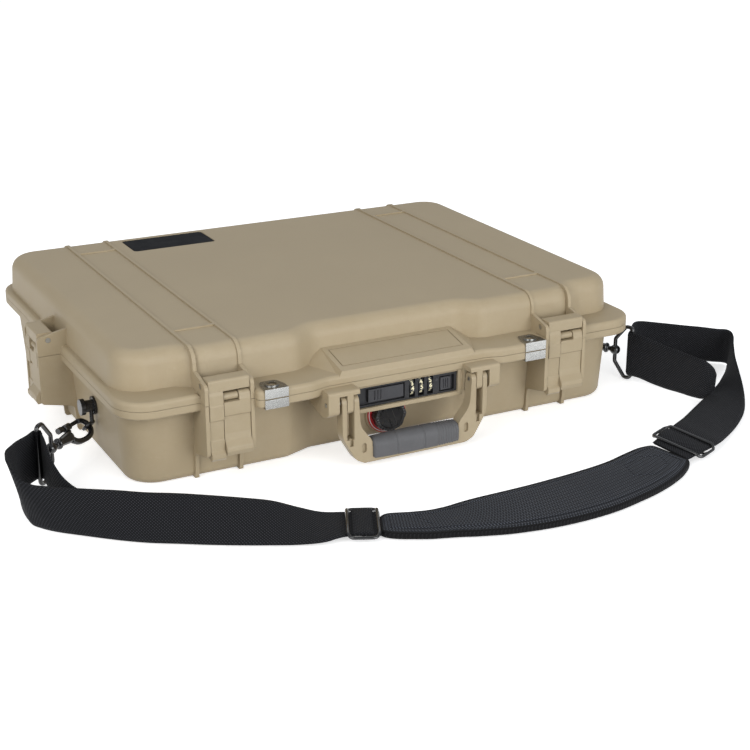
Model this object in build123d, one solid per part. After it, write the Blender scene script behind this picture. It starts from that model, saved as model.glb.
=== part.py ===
from build123d import *
import math
import os

# Hard carrying case for a laptop, with a shoulder strap.
# Millimetres. Origin: centre of the base's flat underside. +X right, -Y front (handle side), +Z up.

# ---------- driving sizes ----------
# shells
foot_length = 496.0
foot_depth = 365.0
foot_corner_r = 28.0
foot_edge_r = 7.0
base_height = 78.0
lid_height = 42.0
wall = 4.0
floor_thickness = 5.0
lid_roof = 4.0
draft = 4.0
split_gap = 0.3
running_clearance = 0.05
side_clearance = 0.4
soft_clearance = 0.4

# handle recess in the front wall
recess_width = 152.0
recess_depth = 10.5
recess_flare = 26.0

# rim flange
base_flange = 7.5
lid_flange = 7.7
flange_side = 14.0
flange_back = 13.5
flange_front = 23.5
flange_hasp = 42.0
flange_middle = 37.5
flange_bay = 17.5
flange_r = 30.0
flange_lip_r = 3.4
middle_half_width = 80.0
middle_flare = 17.0

# lid body
lid_side_ledge = 6.0
lid_back_ledge = 6.0
lid_front_step = -5.5
lid_bulge = 13.0
lid_top_r = 13.0
lid_bulge_r = 20.0
shelf_half_width = 66.0
shelf_wing = 24.0
shelf_rise = 12.5
shelf_lip = 3.3
shelf_border = 5.0
shelf_groove = 1.0
badge_width = 90.0
badge_depth = 45.0
badge_recess = 0.8
badge_x = -90.0
badge_y = 149.0

# stiffening ribs that carry on from the latch ears
rib_thickness = 3.5
rib_pitch = 41.6
rib_height = 1.5
front_latch_x = 170.2
cross_rib_front = -134.0
cross_rib_back = 142.0

# seal
seal_offset = 7.1
tongue_width = 2.8
tongue_height = 3.0
groove_width = 4.2
groove_depth = 5.7
seal_width = 3.8

# foam
bay_length = 390.0
bay_depth = 270.0
bay_floor = 22.0
base_foam_drop = 7.0
lid_foam_thickness = 22.0
bay_corner_r = 12.0

# hinge
hinge_drop = 7.0
hinge_pin_r = 2.0
knuckle_r = 6.0
knuckle_count = 5
knuckle_gap = 0.4
hinge_span = 70.0

# latches
ear_front_reach = 34.0
ear_side_reach = 35.5
side_latch_y = -7.2
ear_bottom = -48.0
ear_top = 18.0
ear_bore_inset = 10.5
latch_pin_z = 15.0
latch_pin_r = 2.45
latch_column = 12.8
lever_pin_inset = 4.6
lever_pin_z = 5.0
lever_pin_r = 1.5
lever_boss_r = 4.2
lever_lug_r = 3.3
lug_width = 13.0
keeper_inset = 16.5
hook_bite = 5.5

# padlock protectors
hasp_x = 130.75
hasp_width = 22.0
hasp_back_width = 15.0
hasp_sheet = 1.2
hasp_depth = 21.0
hasp_hole_r = 4.5
hasp_hole_inset = 11.5
hasp_lip = 6.2

# carrying handle
handle_reach = 46.5
handle_drop = 13.5
handle_half_width = 73.3
handle_depth = 11.0
handle_bottom = 4.5
handle_bar_top = 20.0
handle_pin_r = 2.0
prong_width = 4.8
prong_inner = 57.0
lug_inner = 62.3
lug_outer = 68.3
bracket_outer = 86.5
bracket_front_gap = 2.5
bracket_drop = 1.6
bracket_bridge = 4.4
grip_half_length = 44.0
grip_top = 27.0
grip_bottom = 9.0
grip_depth = 17.0
grip_seam = 1.2

# combination lock
lock_half_width = 51.8
lock_bottom_drop = 28.0
lock_top_drop = 8.4
lock_box_half_width = 56.5
lock_box_drop = 32.0
lock_box_reach = 36.0
lock_reach = 33.5
lock_depth = 16.0
dial_r = 8.0
dial_width = 5.4
dial_pitch = 9.3
first_dial_x = 5.6
dial_reach = 27.0
dial_drop = 18.0
dial_axle_r = 1.5
slide_left = -38.5
slide_right = -3.2
slide_low = -6.0
slide_high = 5.8
slide_travel = 8.0
latch_button_left = 35.0
latch_button_right = 45.6
latch_button_travel = 3.0
reset_x = 30.6
reset_high = 4.0
reset_r = 1.4
bolt_thickness = 3.0
strike_x = -14.0
strike_thickness = 3.0

# pressure valve
valve_z = 24.0
valve_boss_r = 21.0
valve_boss_reach = 4.0
valve_ring_r = 19.5
valve_ring_thickness = 1.6
valve_knob_r = 17.0
valve_knob_depth = 9.0
valve_stem_r = 4.95
valve_flutes = 24

# strap hardware
stud_y = -92.0
stud_drop = 30.5
stud_r = 5.5
stud_reach = 15.0
stud_head_r = 7.5
eye_z = 29.0
eye_x = 258.5
eye_ring_r = 5.6
eye_wire_r = 1.5
hook_eye_width = 22.0
hook_eye_length = 32.0
hook_wire = 5.0
hook_lean = 45.0
shank_end = 50.0
gate_r = 1.9
gate_y = -8.5
ring_arch = 57.0
ring_bar = 76.0
ring_height = 54.0
ring_wire_r = 2.0
webbing_width = 46.0
webbing_thickness = 2.2
wrap_r = 3.9
pad_thickness = 8.0
slider_bar = 3.0
slider_length = 28.0

# ---------- sizes that follow ----------
foot_back = foot_depth / 2
foot_front = -foot_depth / 2
foot_half = foot_length / 2
lid_bottom = base_height + split_gap
lid_ledge = lid_bottom + lid_flange
lid_top = base_height + lid_height
flange_half = foot_half + flange_side
lid_half = flange_half - lid_side_ledge
hinge_y = foot_back + flange_back + hinge_drop
hinge_z = base_height + split_gap / 2
bay_width = rib_pitch - rib_thickness
latch_width = bay_width - 2 * side_clearance
ear_front_y = foot_front - ear_front_reach
ear_side_x = foot_half + ear_side_reach
handle_pivot_y = foot_front - handle_reach
handle_pivot_z = base_height - handle_drop
bracket_top = base_height - bracket_drop
lock_bottom = base_height - lock_bottom_drop
lock_top = base_height - lock_top_drop
lock_box_front = foot_front - lock_box_reach
lock_front = foot_front - lock_reach
dial_axis_y = foot_front - dial_reach
dial_axis_z = base_height - dial_drop
slide_bottom = dial_axis_z + slide_low
slide_top = dial_axis_z + slide_high
reset_z = dial_axis_z + reset_high
stud_z = base_height - stud_drop
base_foam_top = base_height - base_foam_drop
rib_xs = [front_latch_x - rib_pitch / 2, front_latch_x + rib_pitch / 2]
wall_slope = math.tan(math.radians(draft))
hook_heading = {"left": 218.8, "right": 294.8}


# ---------- helpers ----------
def rounded(points):
    """Closed face in XY from (x, y, corner radius) points."""
    face = make_face(Polyline(*[(x, y) for x, y, r in points], close=True))
    for radius in sorted({r for x, y, r in points if r > 0}):
        spots = [Vector(x, y, 0) for x, y, r in points if r == radius]
        corners = [v for v in face.vertices() if min((Vector(v) - s).length for s in spots) < 0.01]
        face = fillet(corners, radius)
    return face


def both_sides(points):
    """Right-half points followed by their mirror images."""
    return points + [(-x, y, r) for x, y, r in reversed(points)]


def drafted(face, height, angle):
    """Upright solid from a face at z = 0, with drafted sides (negative angle opens upwards)."""
    solid = extrude(face, height, taper=angle)
    if solid.bounding_box().max.Z < height / 2:
        solid = mirror(solid, Plane.XY)
    return solid


def prism_x(points, x0, x1):
    """Profile of (y, z, radius) points, extruded from x0 to x1."""
    return extrude(Plane.YZ.offset(x0) * rounded(points), x1 - x0)


def prism_y(points, y0, y1):
    """Profile of (x, z, radius) points, extruded from y0 back to y1."""
    plane = Plane(origin=(0, y0, 0), x_dir=(1, 0, 0), z_dir=(0, -1, 0))
    return extrude(plane * rounded(points), -(y1 - y0))


def block(x0, x1, y0, y1, z0, z1):
    return Pos((x0 + x1) / 2, (y0 + y1) / 2, (z0 + z1) / 2) * Box(x1 - x0, y1 - y0, z1 - z0)


def rod_x(r, x0, x1, y, z):
    return Pos((x0 + x1) / 2, y, z) * Rot(0, 90, 0) * Cylinder(r, x1 - x0)


def rod_y(r, x, y0, y1, z):
    return Pos(x, (y0 + y1) / 2, z) * Rot(90, 0, 0) * Cylinder(r, y1 - y0)


def rod_z(r, x, y, z0, z1):
    return Pos(x, y, (z0 + z1) / 2) * Cylinder(r, z1 - z0)


def mirrored(shape):
    return shape + mirror(shape, Plane.YZ)


def group(*shapes):
    """Separate solids that share one node."""
    solids = [s for shape in shapes for s in shape.solids()]
    return Compound(children=solids)


# ---------- plan outlines ----------
def foot_outline():
    flare_x = recess_width / 2 + recess_flare
    return rounded(both_sides([
        (foot_half, foot_back, foot_corner_r),
        (foot_half, foot_front, foot_corner_r),
        (flare_x, foot_front, foot_corner_r / 2),
        (recess_width / 2, foot_front + recess_depth, foot_corner_r / 2),
    ]))


def flange_outline():
    outer_x = rib_xs[1] + rib_thickness / 2
    inner_x = rib_xs[0] - rib_thickness / 2
    return rounded(both_sides([
        (flange_half, foot_back + flange_back, flange_r),
        (flange_half, foot_front - flange_front, flange_r),
        (outer_x, foot_front - flange_front, 0),
        (outer_x, foot_front - flange_bay, 0),
        (inner_x, foot_front - flange_bay, 0),
        (inner_x, foot_front - flange_hasp, flange_lip_r + 1.6),
        (middle_half_width + middle_flare, foot_front - flange_hasp, foot_corner_r / 2),
        (middle_half_width, foot_front - flange_middle, foot_corner_r / 2),
    ]))


def lid_outline():
    back = foot_back + flange_back - lid_back_ledge
    front = foot_front - lid_front_step
    bulge = front - lid_bulge
    step = lid_bulge_r * 0.75
    return rounded(both_sides([
        (lid_half, back, flange_r),
        (lid_half, front, flange_r),
        (rib_xs[1] + step, front, lid_bulge_r),
        (rib_xs[1] - step / 3, bulge, lid_bulge_r),
        (middle_half_width + step, bulge, lid_bulge_r),
        (middle_half_width - step / 2, front, lid_bulge_r),
    ]))


def ring_outline(offset_mid, width):
    foot = foot_outline()
    return offset(foot, offset_mid + width / 2) - offset(foot, offset_mid - width / 2)


# ---------- latch stations: local frame has its front at y = 0 and the split at z = 0, outward is -y ----------
latch_places = {
    "front_left": (Location((-front_latch_x, ear_front_y, base_height)), -foot_back - ear_front_y),
    "front_right": (Location((front_latch_x, ear_front_y, base_height)), -foot_back - ear_front_y),
    "side_left": (Location((-ear_side_x, side_latch_y, base_height), (0, 0, -90)), ear_side_x - foot_half),
    "side_right": (Location((ear_side_x, side_latch_y, base_height), (0, 0, 90)), ear_side_x - foot_half),
}


def at_rib_pair(make):
    """One copy of a fin for each of the two ribs of a latch station."""
    half = rib_thickness / 2
    fins = [make(x - half, x + half) for x in (-rib_pitch / 2, rib_pitch / 2)]
    return fins[0] + fins[1]


def lid_ears(reach):
    profile = [
        (0, split_gap, 0),
        (0, ear_top, 5.0),
        (reach - 6, ear_top + 6, 3.0),
        (reach + 6, ear_top + 6, 0),
        (reach + 6, split_gap, 0),
    ]
    ears = at_rib_pair(lambda x0, x1: prism_x(profile, x0, x1))
    return ears - rod_x(latch_pin_r + running_clearance, -rib_pitch, rib_pitch, ear_bore_inset, latch_pin_z)


def base_fins(reach):
    profile = [
        (0, 0, 0),
        (0, ear_bottom + 1.5, 3.0),
        (reach - 5, ear_bottom - 5, 5.0),
        (reach - 2.8, -base_height, 2.0),
        (reach + 6, -base_height, 0),
        (reach + 6, 0, 0),
    ]
    fins = at_rib_pair(lambda x0, x1: prism_x(profile, x0, x1))
    half = bay_width / 2 + 0.5
    keeper = block(-half, half, keeper_inset, reach, -base_flange, 0)
    return fins + keeper


def lid_top_ribs():
    """Low ribs that run over the lid from the front latch ears to the back edge."""
    back = foot_back + flange_back - lid_back_ledge
    front = foot_front - lid_front_step - lid_bulge
    lean = wall_slope * (lid_top - lid_ledge)
    profile = [
        (front - rib_height, lid_ledge - 1, 0),
        (front - rib_height + lean, lid_top + rib_height, lid_top_r + rib_height),
        (back + rib_height - lean, lid_top + rib_height, lid_top_r + rib_height),
        (back + rib_height, lid_ledge - 1, 0),
    ]
    half = rib_thickness / 2
    ribs = prism_x(profile, rib_xs[0] - half, rib_xs[0] + half)
    ribs += prism_x(profile, rib_xs[1] - half, rib_xs[1] + half)
    for y in (cross_rib_front, cross_rib_back):
        ribs += block(rib_xs[0], rib_xs[1], y - half, y + half, lid_top - 1, lid_top + rib_height)
    return ribs


# ---------- hinge ----------
def knuckle_spans():
    pitch = hinge_span / knuckle_count
    start = front_latch_x - hinge_span / 2
    return [(start + i * pitch, start + (i + 1) * pitch - knuckle_gap) for i in range(knuckle_count)]


def hinge_knuckles(spans, lid_side):
    wall_y = foot_back + seal_offset + groove_width / 2 + 0.8
    if lid_side:
        web = [
            (wall_y, lid_bottom, 0),
            (hinge_y, lid_bottom, 0),
            (hinge_y, hinge_z + knuckle_r, 0),
            (wall_y, lid_ledge, 0),
        ]
    else:
        web = [
            (foot_back + 2.5, base_height - 28, 0),
            (hinge_y + knuckle_r * 0.7, hinge_z - knuckle_r * 0.7, 0),
            (hinge_y, hinge_z, 0),
            (hinge_y - knuckle_r, base_height, 0),
            (foot_back + 2.5, base_height, 0),
        ]
    knuckles = Part()
    for x0, x1 in spans:
        knuckles += prism_x(web, x0, x1) + rod_x(knuckle_r, x0, x1, hinge_y, hinge_z)
    return knuckles


def hinge_bores():
    half = hinge_span / 2 + 1
    r = hinge_pin_r + running_clearance
    return rod_x(r, front_latch_x - half, front_latch_x + half, hinge_y, hinge_z)


def hinge_pins():
    half = hinge_span / 2 - 0.2
    pin = rod_x(hinge_pin_r, front_latch_x - half, front_latch_x + half, hinge_y, hinge_z)
    return group(pin, mirror(pin, Plane.YZ))


# ---------- base shell ----------
def lock_box():
    return block(-lock_box_half_width, lock_box_half_width, lock_box_front, foot_front + recess_depth,
                 base_height - lock_box_drop, base_height)


def handle_bracket():
    """Two-sided bracket on the right of the lock; the left one is its mirror image."""
    front = handle_pivot_y - handle_depth / 2
    profile = [
        (foot_front + recess_depth, base_height - base_flange, 0),
        (foot_front + recess_depth, handle_pivot_z - 2.5, 0),
        (front + 10.5, handle_pivot_z - 14.0, 6.0),
        (front, handle_pivot_z - 8.5, 5.0),
        (front, bracket_top, 2.0),
        (foot_front - flange_middle + 1, bracket_top, 0),
        (foot_front - flange_middle + 1, base_height - base_flange, 0),
    ]
    bracket = prism_x(profile, lock_box_half_width - 0.5, bracket_outer)
    slot_back = handle_pivot_y + handle_depth / 2 + 1.7
    for x0, x1 in ((lock_box_half_width - 1, lug_inner), (lug_outer, handle_half_width + bracket_front_gap)):
        bracket -= block(x0, x1, front - 5, slot_back, handle_pivot_z - 24.5, bracket_top - bracket_bridge)
    bore = rod_x(handle_pin_r + running_clearance, 50, bracket_outer + 1, handle_pivot_y, handle_pivot_z)
    return bracket - bore


def hasp_base():
    """Lower padlock plate: a lip in front of the flange and a tab under it, with the hole."""
    y_front = foot_front - flange_hasp - hasp_sheet
    lip = block(-hasp_width / 2, hasp_width / 2, y_front, y_front + hasp_sheet,
                base_height - base_flange - hasp_sheet, base_height - 0.4)
    tab = block(-hasp_width / 2, hasp_width / 2, y_front, y_front + hasp_depth,
                base_height - base_flange - hasp_sheet, base_height - base_flange)
    plate = Pos(hasp_x, 0, 0) * (lip + tab)
    plate -= rod_z(hasp_hole_r, hasp_x, y_front + hasp_hole_inset, base_height - 18, base_height + 2)
    return plate


def hasp_lid():
    """Upper padlock plate: tapered top with a raised ring round the hole, and a front lip."""
    y_front = foot_front - flange_hasp - hasp_sheet
    lip = block(-hasp_width / 2, hasp_width / 2, y_front, y_front + hasp_sheet,
                lid_bottom + 0.4, lid_ledge + hasp_sheet)
    top = rounded(both_sides([
        (hasp_width / 2, y_front, 0),
        (hasp_width / 2, y_front + hasp_depth * 0.45, 3.0),
        (hasp_back_width / 2, y_front + hasp_depth, 4.0),
    ]))
    plate = Pos(hasp_x, 0, 0) * (lip + Pos(0, 0, lid_ledge) * extrude(top, hasp_sheet))
    plate += rod_z(hasp_hole_r + 2, hasp_x, y_front + hasp_hole_inset, lid_ledge, lid_ledge + hasp_sheet + 0.9)
    plate -= rod_z(hasp_hole_r, hasp_x, y_front + hasp_hole_inset, base_height - 8, base_height + 17)
    return plate


def padlock_holes(r):
    y = foot_front - flange_hasp - hasp_sheet + hasp_hole_inset
    return mirrored(rod_z(r, hasp_x, y, base_height - 18, base_height + 22))


def base_cavity():
    inner = offset(foot_outline(), -wall)
    cavity = Pos(0, 0, floor_thickness) * drafted(inner, base_height - floor_thickness, -draft)
    return fillet(cavity.edges().group_by(Axis.Z)[0], foot_edge_r - 1)


def base_shell():
    body = drafted(foot_outline(), base_height - base_flange, -draft)
    body = fillet(body.edges().group_by(Axis.Z)[0], foot_edge_r)
    rim = Pos(0, 0, base_height - base_flange) * extrude(flange_outline(), base_flange)
    rim = fillet(rim.edges().group_by(Axis.Z)[0], 2.0)
    shell = body + rim + lock_box() + mirrored(handle_bracket())
    for place, reach in latch_places.values():
        shell += place * base_fins(reach)
    shell += rod_y(valve_boss_r, 0, foot_front + recess_depth - valve_boss_reach, foot_front + 15, valve_z)
    shell -= base_cavity()
    shell += Pos(0, 0, base_height) * extrude(ring_outline(seal_offset, tongue_width), tongue_height)
    base_spans = knuckle_spans()[0::2]
    shell += mirrored(hinge_knuckles(base_spans, False) - hinge_bores())
    shell -= lock_cutouts()
    shell -= padlock_holes(hasp_hole_r)
    shell -= rod_y(valve_stem_r + running_clearance, 0, foot_front - 8, foot_front + 32, valve_z)
    return shell


def lock_cutouts():
    """Opening for the lock housing and the deep slot that takes the bolt and the strike plate."""
    back = lock_front + lock_depth
    front = block(-lock_half_width - 0.2, lock_half_width + 0.2, lock_box_front - 1, back + 0.2,
                  lock_bottom - 0.2, lock_top + 0.2)
    pocket = block(-46, -2, back, back + 10, lock_bottom, base_height + 0.1)
    return front + pocket


# ---------- lid ----------
def lid_shelf():
    """Sloping panel over the lock: a thick front lip, triangular wings and a grooved border."""
    front = foot_front - flange_middle
    lip_y = front + 1.2
    lip_z = lid_ledge + shelf_lip
    back_y = foot_front - lid_front_step + 4
    back_z = lid_ledge + shelf_rise
    low = lid_ledge - 2
    half = shelf_half_width
    top = [Vector(-half, back_y, back_z), Vector(half, back_y, back_z), Vector(half, lip_y, lip_z),
           Vector(-half, lip_y, lip_z)]
    foot = [Vector(-half - shelf_wing, back_y, low), Vector(half + shelf_wing, back_y, low),
            Vector(half + 3, front + 0.4, low), Vector(-half - 3, front + 0.4, low)]
    faces = [Face(Wire.make_polygon(top)), Face(Wire.make_polygon(foot[::-1]))]
    for k in range(4):
        n = (k + 1) % 4
        faces.append(Face(Wire.make_polygon([top[n], top[k], foot[k]])))
        faces.append(Face(Wire.make_polygon([top[n], foot[k], foot[n]])))
    shelf = Solid(Shell(faces))
    slope = math.degrees(math.atan2(back_z - lip_z, back_y - lip_y))
    plane = Plane(origin=(0, lip_y, lip_z), x_dir=(1, 0, 0), z_dir=(0, -math.sin(math.radians(slope)),
                                                                   math.cos(math.radians(slope))))
    depth = (foot_front - lid_front_step - lip_y) / math.cos(math.radians(slope)) - 2
    wide, deep = 2 * (half - shelf_border), depth - 2.2 * shelf_border
    outer = Rectangle(wide + shelf_groove, deep + shelf_groove)
    inner = Rectangle(wide - shelf_groove, deep - shelf_groove)
    groove = extrude(plane * Pos(0, depth / 2 + shelf_border * 0.6) * (outer - inner), shelf_groove * 0.7, both=True)
    return shelf - groove


def lid_shell():
    rim = Pos(0, 0, lid_bottom) * extrude(flange_outline(), lid_flange)
    rim = fillet(rim.edges().group_by(Axis.Z)[-1], flange_lip_r)
    body = Pos(0, 0, lid_ledge) * drafted(lid_outline(), lid_top - lid_ledge, draft)
    body = fillet(body.edges().group_by(Axis.Z)[-1], lid_top_r)
    ribs = mirrored(lid_top_ribs())
    shell = rim + body + ribs + lid_shelf()
    for place, reach in latch_places.values():
        shell += place * lid_ears(reach)
    mouth = offset(foot_outline(), 1.1)
    throat = mouth & offset(lid_outline(), -wall)
    opening = Pos(0, 0, lid_bottom) * (extrude(mouth, lid_flange - wall) + extrude(throat, lid_flange + 0.2))
    cavity_height = lid_top - lid_ledge - lid_roof
    cavity = Pos(0, 0, lid_ledge) * drafted(offset(lid_outline(), -wall), cavity_height, draft)
    cavity = fillet(cavity.edges().group_by(Axis.Z)[-1], lid_top_r - wall)
    groove = Pos(0, 0, lid_bottom) * extrude(ring_outline(seal_offset, groove_width), groove_depth)
    shell = shell - opening - cavity - groove
    lid_spans = knuckle_spans()[1::2]
    shell += mirrored(hinge_knuckles(lid_spans, True) - hinge_bores())
    shell -= padlock_holes(hasp_hole_r)
    badge = rounded([
        (badge_x - badge_width / 2, badge_y - badge_depth / 2, 4.0),
        (badge_x + badge_width / 2, badge_y - badge_depth / 2, 4.0),
        (badge_x + badge_width / 2, badge_y + badge_depth / 2, 4.0),
        (badge_x - badge_width / 2, badge_y + badge_depth / 2, 4.0),
    ])
    shell -= Pos(0, 0, lid_top - badge_recess) * extrude(badge, 2)
    return shell


def lid_seal():
    ring = ring_outline(seal_offset, seal_width)
    bottom = base_height + tongue_height + 0.3
    return Pos(0, 0, bottom) * extrude(ring, lid_bottom + groove_depth - bottom)


# ---------- foam ----------
def base_foam():
    """Tray of foam that fills the base, with a bay for the laptop."""
    low = floor_thickness + soft_clearance
    shrink = wall - (low - floor_thickness) * wall_slope + soft_clearance
    block_of_foam = Pos(0, 0, low) * drafted(offset(foot_outline(), -shrink), base_foam_top - low, -draft)
    block_of_foam = chamfer(block_of_foam.edges().group_by(Axis.Z)[0], 4.0)
    y0 = -bay_depth / 2 + 5
    bay = rounded([
        (-bay_length / 2, y0, bay_corner_r),
        (bay_length / 2, y0, bay_corner_r),
        (bay_length / 2, y0 + bay_depth, bay_corner_r),
        (-bay_length / 2, y0 + bay_depth, bay_corner_r),
    ])
    foam = block_of_foam - Pos(0, 0, bay_floor) * extrude(bay, 60)
    foam -= rod_y(valve_boss_r, 0, foot_front + 2, foot_front + 22, valve_z)
    return foam


def lid_foam():
    top = lid_top - lid_roof - soft_clearance
    rise = top - lid_ledge
    outline = offset(lid_outline(), -wall - rise * wall_slope - 2 * soft_clearance)
    slab = Pos(0, 0, top - lid_foam_thickness) * extrude(outline, lid_foam_thickness)
    return chamfer(slab.edges().group_by(Axis.Z)[-1], lid_top_r - wall)


# ---------- latches ----------
def latch_jaw():
    """Hook that hangs from the lid pin and bites under the base keeper; it carries the lever."""
    half = latch_width / 2
    split = -half + latch_column
    lug_left = split + 2 * side_clearance
    back = lever_pin_inset + 5.0
    jaw = prism_x([
        (1, 21.5, 2.0), (17, 21.5, 3.0), (17, 11.5, 1.0), (back + 4, 8.5, 1.0),
        (back + 4, -base_flange - 0.3, 0), (keeper_inset + hook_bite, -base_flange - 0.3, 1.0),
        (keeper_inset + hook_bite, -11.5, 2.0), (back + 4.4, -22, 0), (back, -22, 0), (back, 11.2, 0), (1, 11.2, 0),
    ], -half, half)
    jaw += prism_x([
        (0.8, 11.5, 0), (0, 8, 0), (0, -0.5, 0), (-0.6, -1.5, 0), (-0.6, -14, 0), (1.2, -15, 0), (1.2, -32, 0),
        (0.4, -33, 0), (0.4, -42, 0), (-2.2, -44.5, 0), (-2.2, -48.5, 0), (0.5, -51, 0), (back - 1, -49, 1.5),
        (back, 11.5, 0),
    ], -half, split)
    jaw += rod_x(lever_lug_r, lug_left, lug_left + lug_width, lever_pin_inset, lever_pin_z)
    jaw += block(lug_left, lug_left + lug_width, lever_pin_inset, back + 1, lever_pin_z - 2.8, lever_pin_z + 2.8)
    jaw -= rod_x(latch_pin_r + running_clearance, -half - 1, half + 1, ear_bore_inset, latch_pin_z)
    jaw -= rod_x(lever_pin_r + running_clearance, split - 6, half + 1, lever_pin_inset, lever_pin_z)
    return jaw


def latch_lever():
    """Outer lever of the double action: it swings on the jaw before the jaw lets go."""
    half = latch_width / 2
    left = -half + latch_column + side_clearance
    notch_right = left + side_clearance + lug_width + 0.6
    lever = prism_x([
        (0.4, 5, 0), (-0.3, 2, 0), (-0.3, -11.2, 0), (1.0, -12.2, 0), (1.0, -28, 0), (0.2, -34, 0), (-3.8, -39.5, 2.0),
        (-4.2, -43, 1.5), (-2.5, -47, 0), (2.0, -46.5, 1.0), (3.5, -38, 0), (4.2, -32, 0), (4.2, -2, 0), (8.6, 3.5, 0),
        (8.7, 5, 0),
    ], left, half)
    lever += rod_x(lever_boss_r, left, half, lever_pin_inset, lever_pin_z)
    lever -= rod_x(lever_lug_r + 0.6, left - 1, notch_right, lever_pin_inset, lever_pin_z)
    lever -= block(left - 1, notch_right, -2, 12, lever_pin_z - 3.9, lever_pin_z + 6)
    lever -= rod_x(lever_pin_r + running_clearance, left - 1, half + 1, lever_pin_inset, lever_pin_z)
    return lever


def lever_pin():
    half = latch_width / 2
    return rod_x(lever_pin_r, -half + latch_column - 5.5, half - 1, lever_pin_inset, lever_pin_z)


def latch_pins():
    half = rib_pitch / 2 + rib_thickness / 2 - 0.3
    pin = rod_x(latch_pin_r, -half, half, ear_bore_inset, latch_pin_z)
    return group(*[place * pin for place, reach in latch_places.values()])


# ---------- carrying handle ----------
def handle_frame():
    y0 = handle_pivot_y - handle_depth / 2
    y1 = handle_pivot_y + handle_depth / 2
    top = handle_pivot_z + handle_depth / 2
    plan = rounded(both_sides([
        (prong_inner, top, 0),
        (handle_half_width, top, 0),
        (handle_half_width, 32.0, 22.0),
        (60.0, 9.5, 10.0),
        (50.0, handle_bottom, 8.0),
    ]))
    window = rounded(both_sides([
        (prong_inner, top + 5, 0),
        (prong_inner, handle_pivot_z, 0),
        (55.5, 40.0, 20.0),
        (46.0, 28.5, 5.0),
        (grip_half_length, 24.5, 0),
        (grip_half_length, handle_bar_top, 0),
    ]))
    face = Plane(origin=(0, y1, 0), x_dir=(1, 0, 0), z_dir=(0, -1, 0)) * (plan - window)
    frame = extrude(face, handle_depth)
    slots = block(prong_inner + prong_width, handle_half_width - prong_width + 0.3, y0 - 1, y1 + 1, 30, top + 5)
    frame -= mirrored(slots)
    groove_x = prong_inner + prong_width + 2.5
    pockets = block(groove_x - 1.6, groove_x + 1.6, y0 - 1, y0 + 3, 23.5, 31)
    hollow = Pos(52.0, y0, 20.0) * Rot(90, 0, 0) * extrude(SlotOverall(9.0, 4.4, rotation=90), 2.4, both=True)
    frame -= mirrored(pockets + hollow)
    side = prism_x([(y0, handle_bottom, 2.5), (y1, handle_bottom, 2.5), (y1, top, 5.4), (y0, top, 5.4)], -80, 80)
    frame = frame & side
    frame -= rod_x(handle_pin_r + running_clearance, -80, 80, handle_pivot_y, handle_pivot_z)
    return frame


def handle_grip():
    """Soft ribbed sleeve that sits over the bar."""
    y0 = handle_pivot_y - grip_depth / 2
    y1 = handle_pivot_y + grip_depth / 2
    half = grip_half_length - 0.4
    grip = prism_x([(y0, grip_bottom, 2.0), (y1, grip_bottom, 2.0), (y1, grip_top, 6.5), (y0, grip_top, 6.5)],
                   -half, half)
    for x in (-26.0, 26.0):
        band = block(x - grip_seam / 2, x + grip_seam / 2, y0 - 1, y1 + 1, grip_bottom - 1, grip_top + 1)
        core = prism_x([(y0 + 0.8, 0, 0), (y1 - 0.8, 0, 0), (y1 - 0.8, grip_top - 0.8, 6.0),
                        (y0 + 0.8, grip_top - 0.8, 6.0)], -50, 50)
        grip -= band - core
    grip -= block(-60, 60, handle_pivot_y - handle_depth / 2 - 0.3, handle_pivot_y + handle_depth / 2 + 0.3,
                  0, handle_bar_top + 0.3)
    return grip


def handle_pins():
    pin = rod_x(handle_pin_r, prong_inner - 0.2, bracket_outer + 0.3, handle_pivot_y, handle_pivot_z)
    return group(pin, mirror(pin, Plane.YZ))


# ---------- combination lock ----------
def dial_centres():
    return [first_dial_x + i * dial_pitch for i in range(3)]


def lock_housing():
    back = lock_front + lock_depth
    body = prism_y([
        (-lock_half_width, lock_bottom, 1.5), (lock_half_width, lock_bottom, 1.5),
        (lock_half_width, lock_top, 1.5), (-lock_half_width, lock_top, 1.5),
    ], lock_front, back)
    # hollow behind the slides, seen from the front as a sunk panel
    body -= block(-49, -2, lock_front - 1, lock_front + 3.2, slide_bottom - 2, slide_top + 1.6)
    body -= block(-30.4 - slide_travel - 0.2, -22.1, lock_front, back + 1, dial_axis_z - 3, dial_axis_z + 3)
    for x in dial_centres():
        half = dial_width / 2 + 0.35
        body -= block(x - half, x + half, lock_front - 1, dial_axis_y + dial_r + 0.7,
                      dial_axis_z - 8.6, dial_axis_z + 8.6)
    body -= block(latch_button_left - 1.2, latch_button_right + latch_button_travel + 0.6,
                  lock_front - 1, lock_front + 3.2, dial_axis_z - 8.4, dial_axis_z + 6.4)
    body -= rod_y(reset_r + 0.1, reset_x, lock_front - 1, lock_front + 8, reset_z)
    body -= rod_x(dial_axle_r + 0.02, dial_centres()[0] - 5.2, dial_centres()[2] + 5.2, dial_axis_y, dial_axis_z)
    return body


def dial_axle():
    centres = dial_centres()
    return rod_x(dial_axle_r, centres[0] - 5, centres[2] + 5, dial_axis_y, dial_axis_z)


def lock_dial():
    """Number wheel with ten flats round its rim."""
    wheel = extrude(Plane.YZ.offset(-dial_width / 2) * RegularPolygon(dial_r, 10), dial_width)
    hub = dial_axle_r + running_clearance
    wheel = chamfer(wheel.edges().filter_by(GeomType.LINE).filter_by(Plane.YZ), 0.5)
    return wheel - Rot(0, 90, 0) * Cylinder(hub, dial_width + 2)


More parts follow.
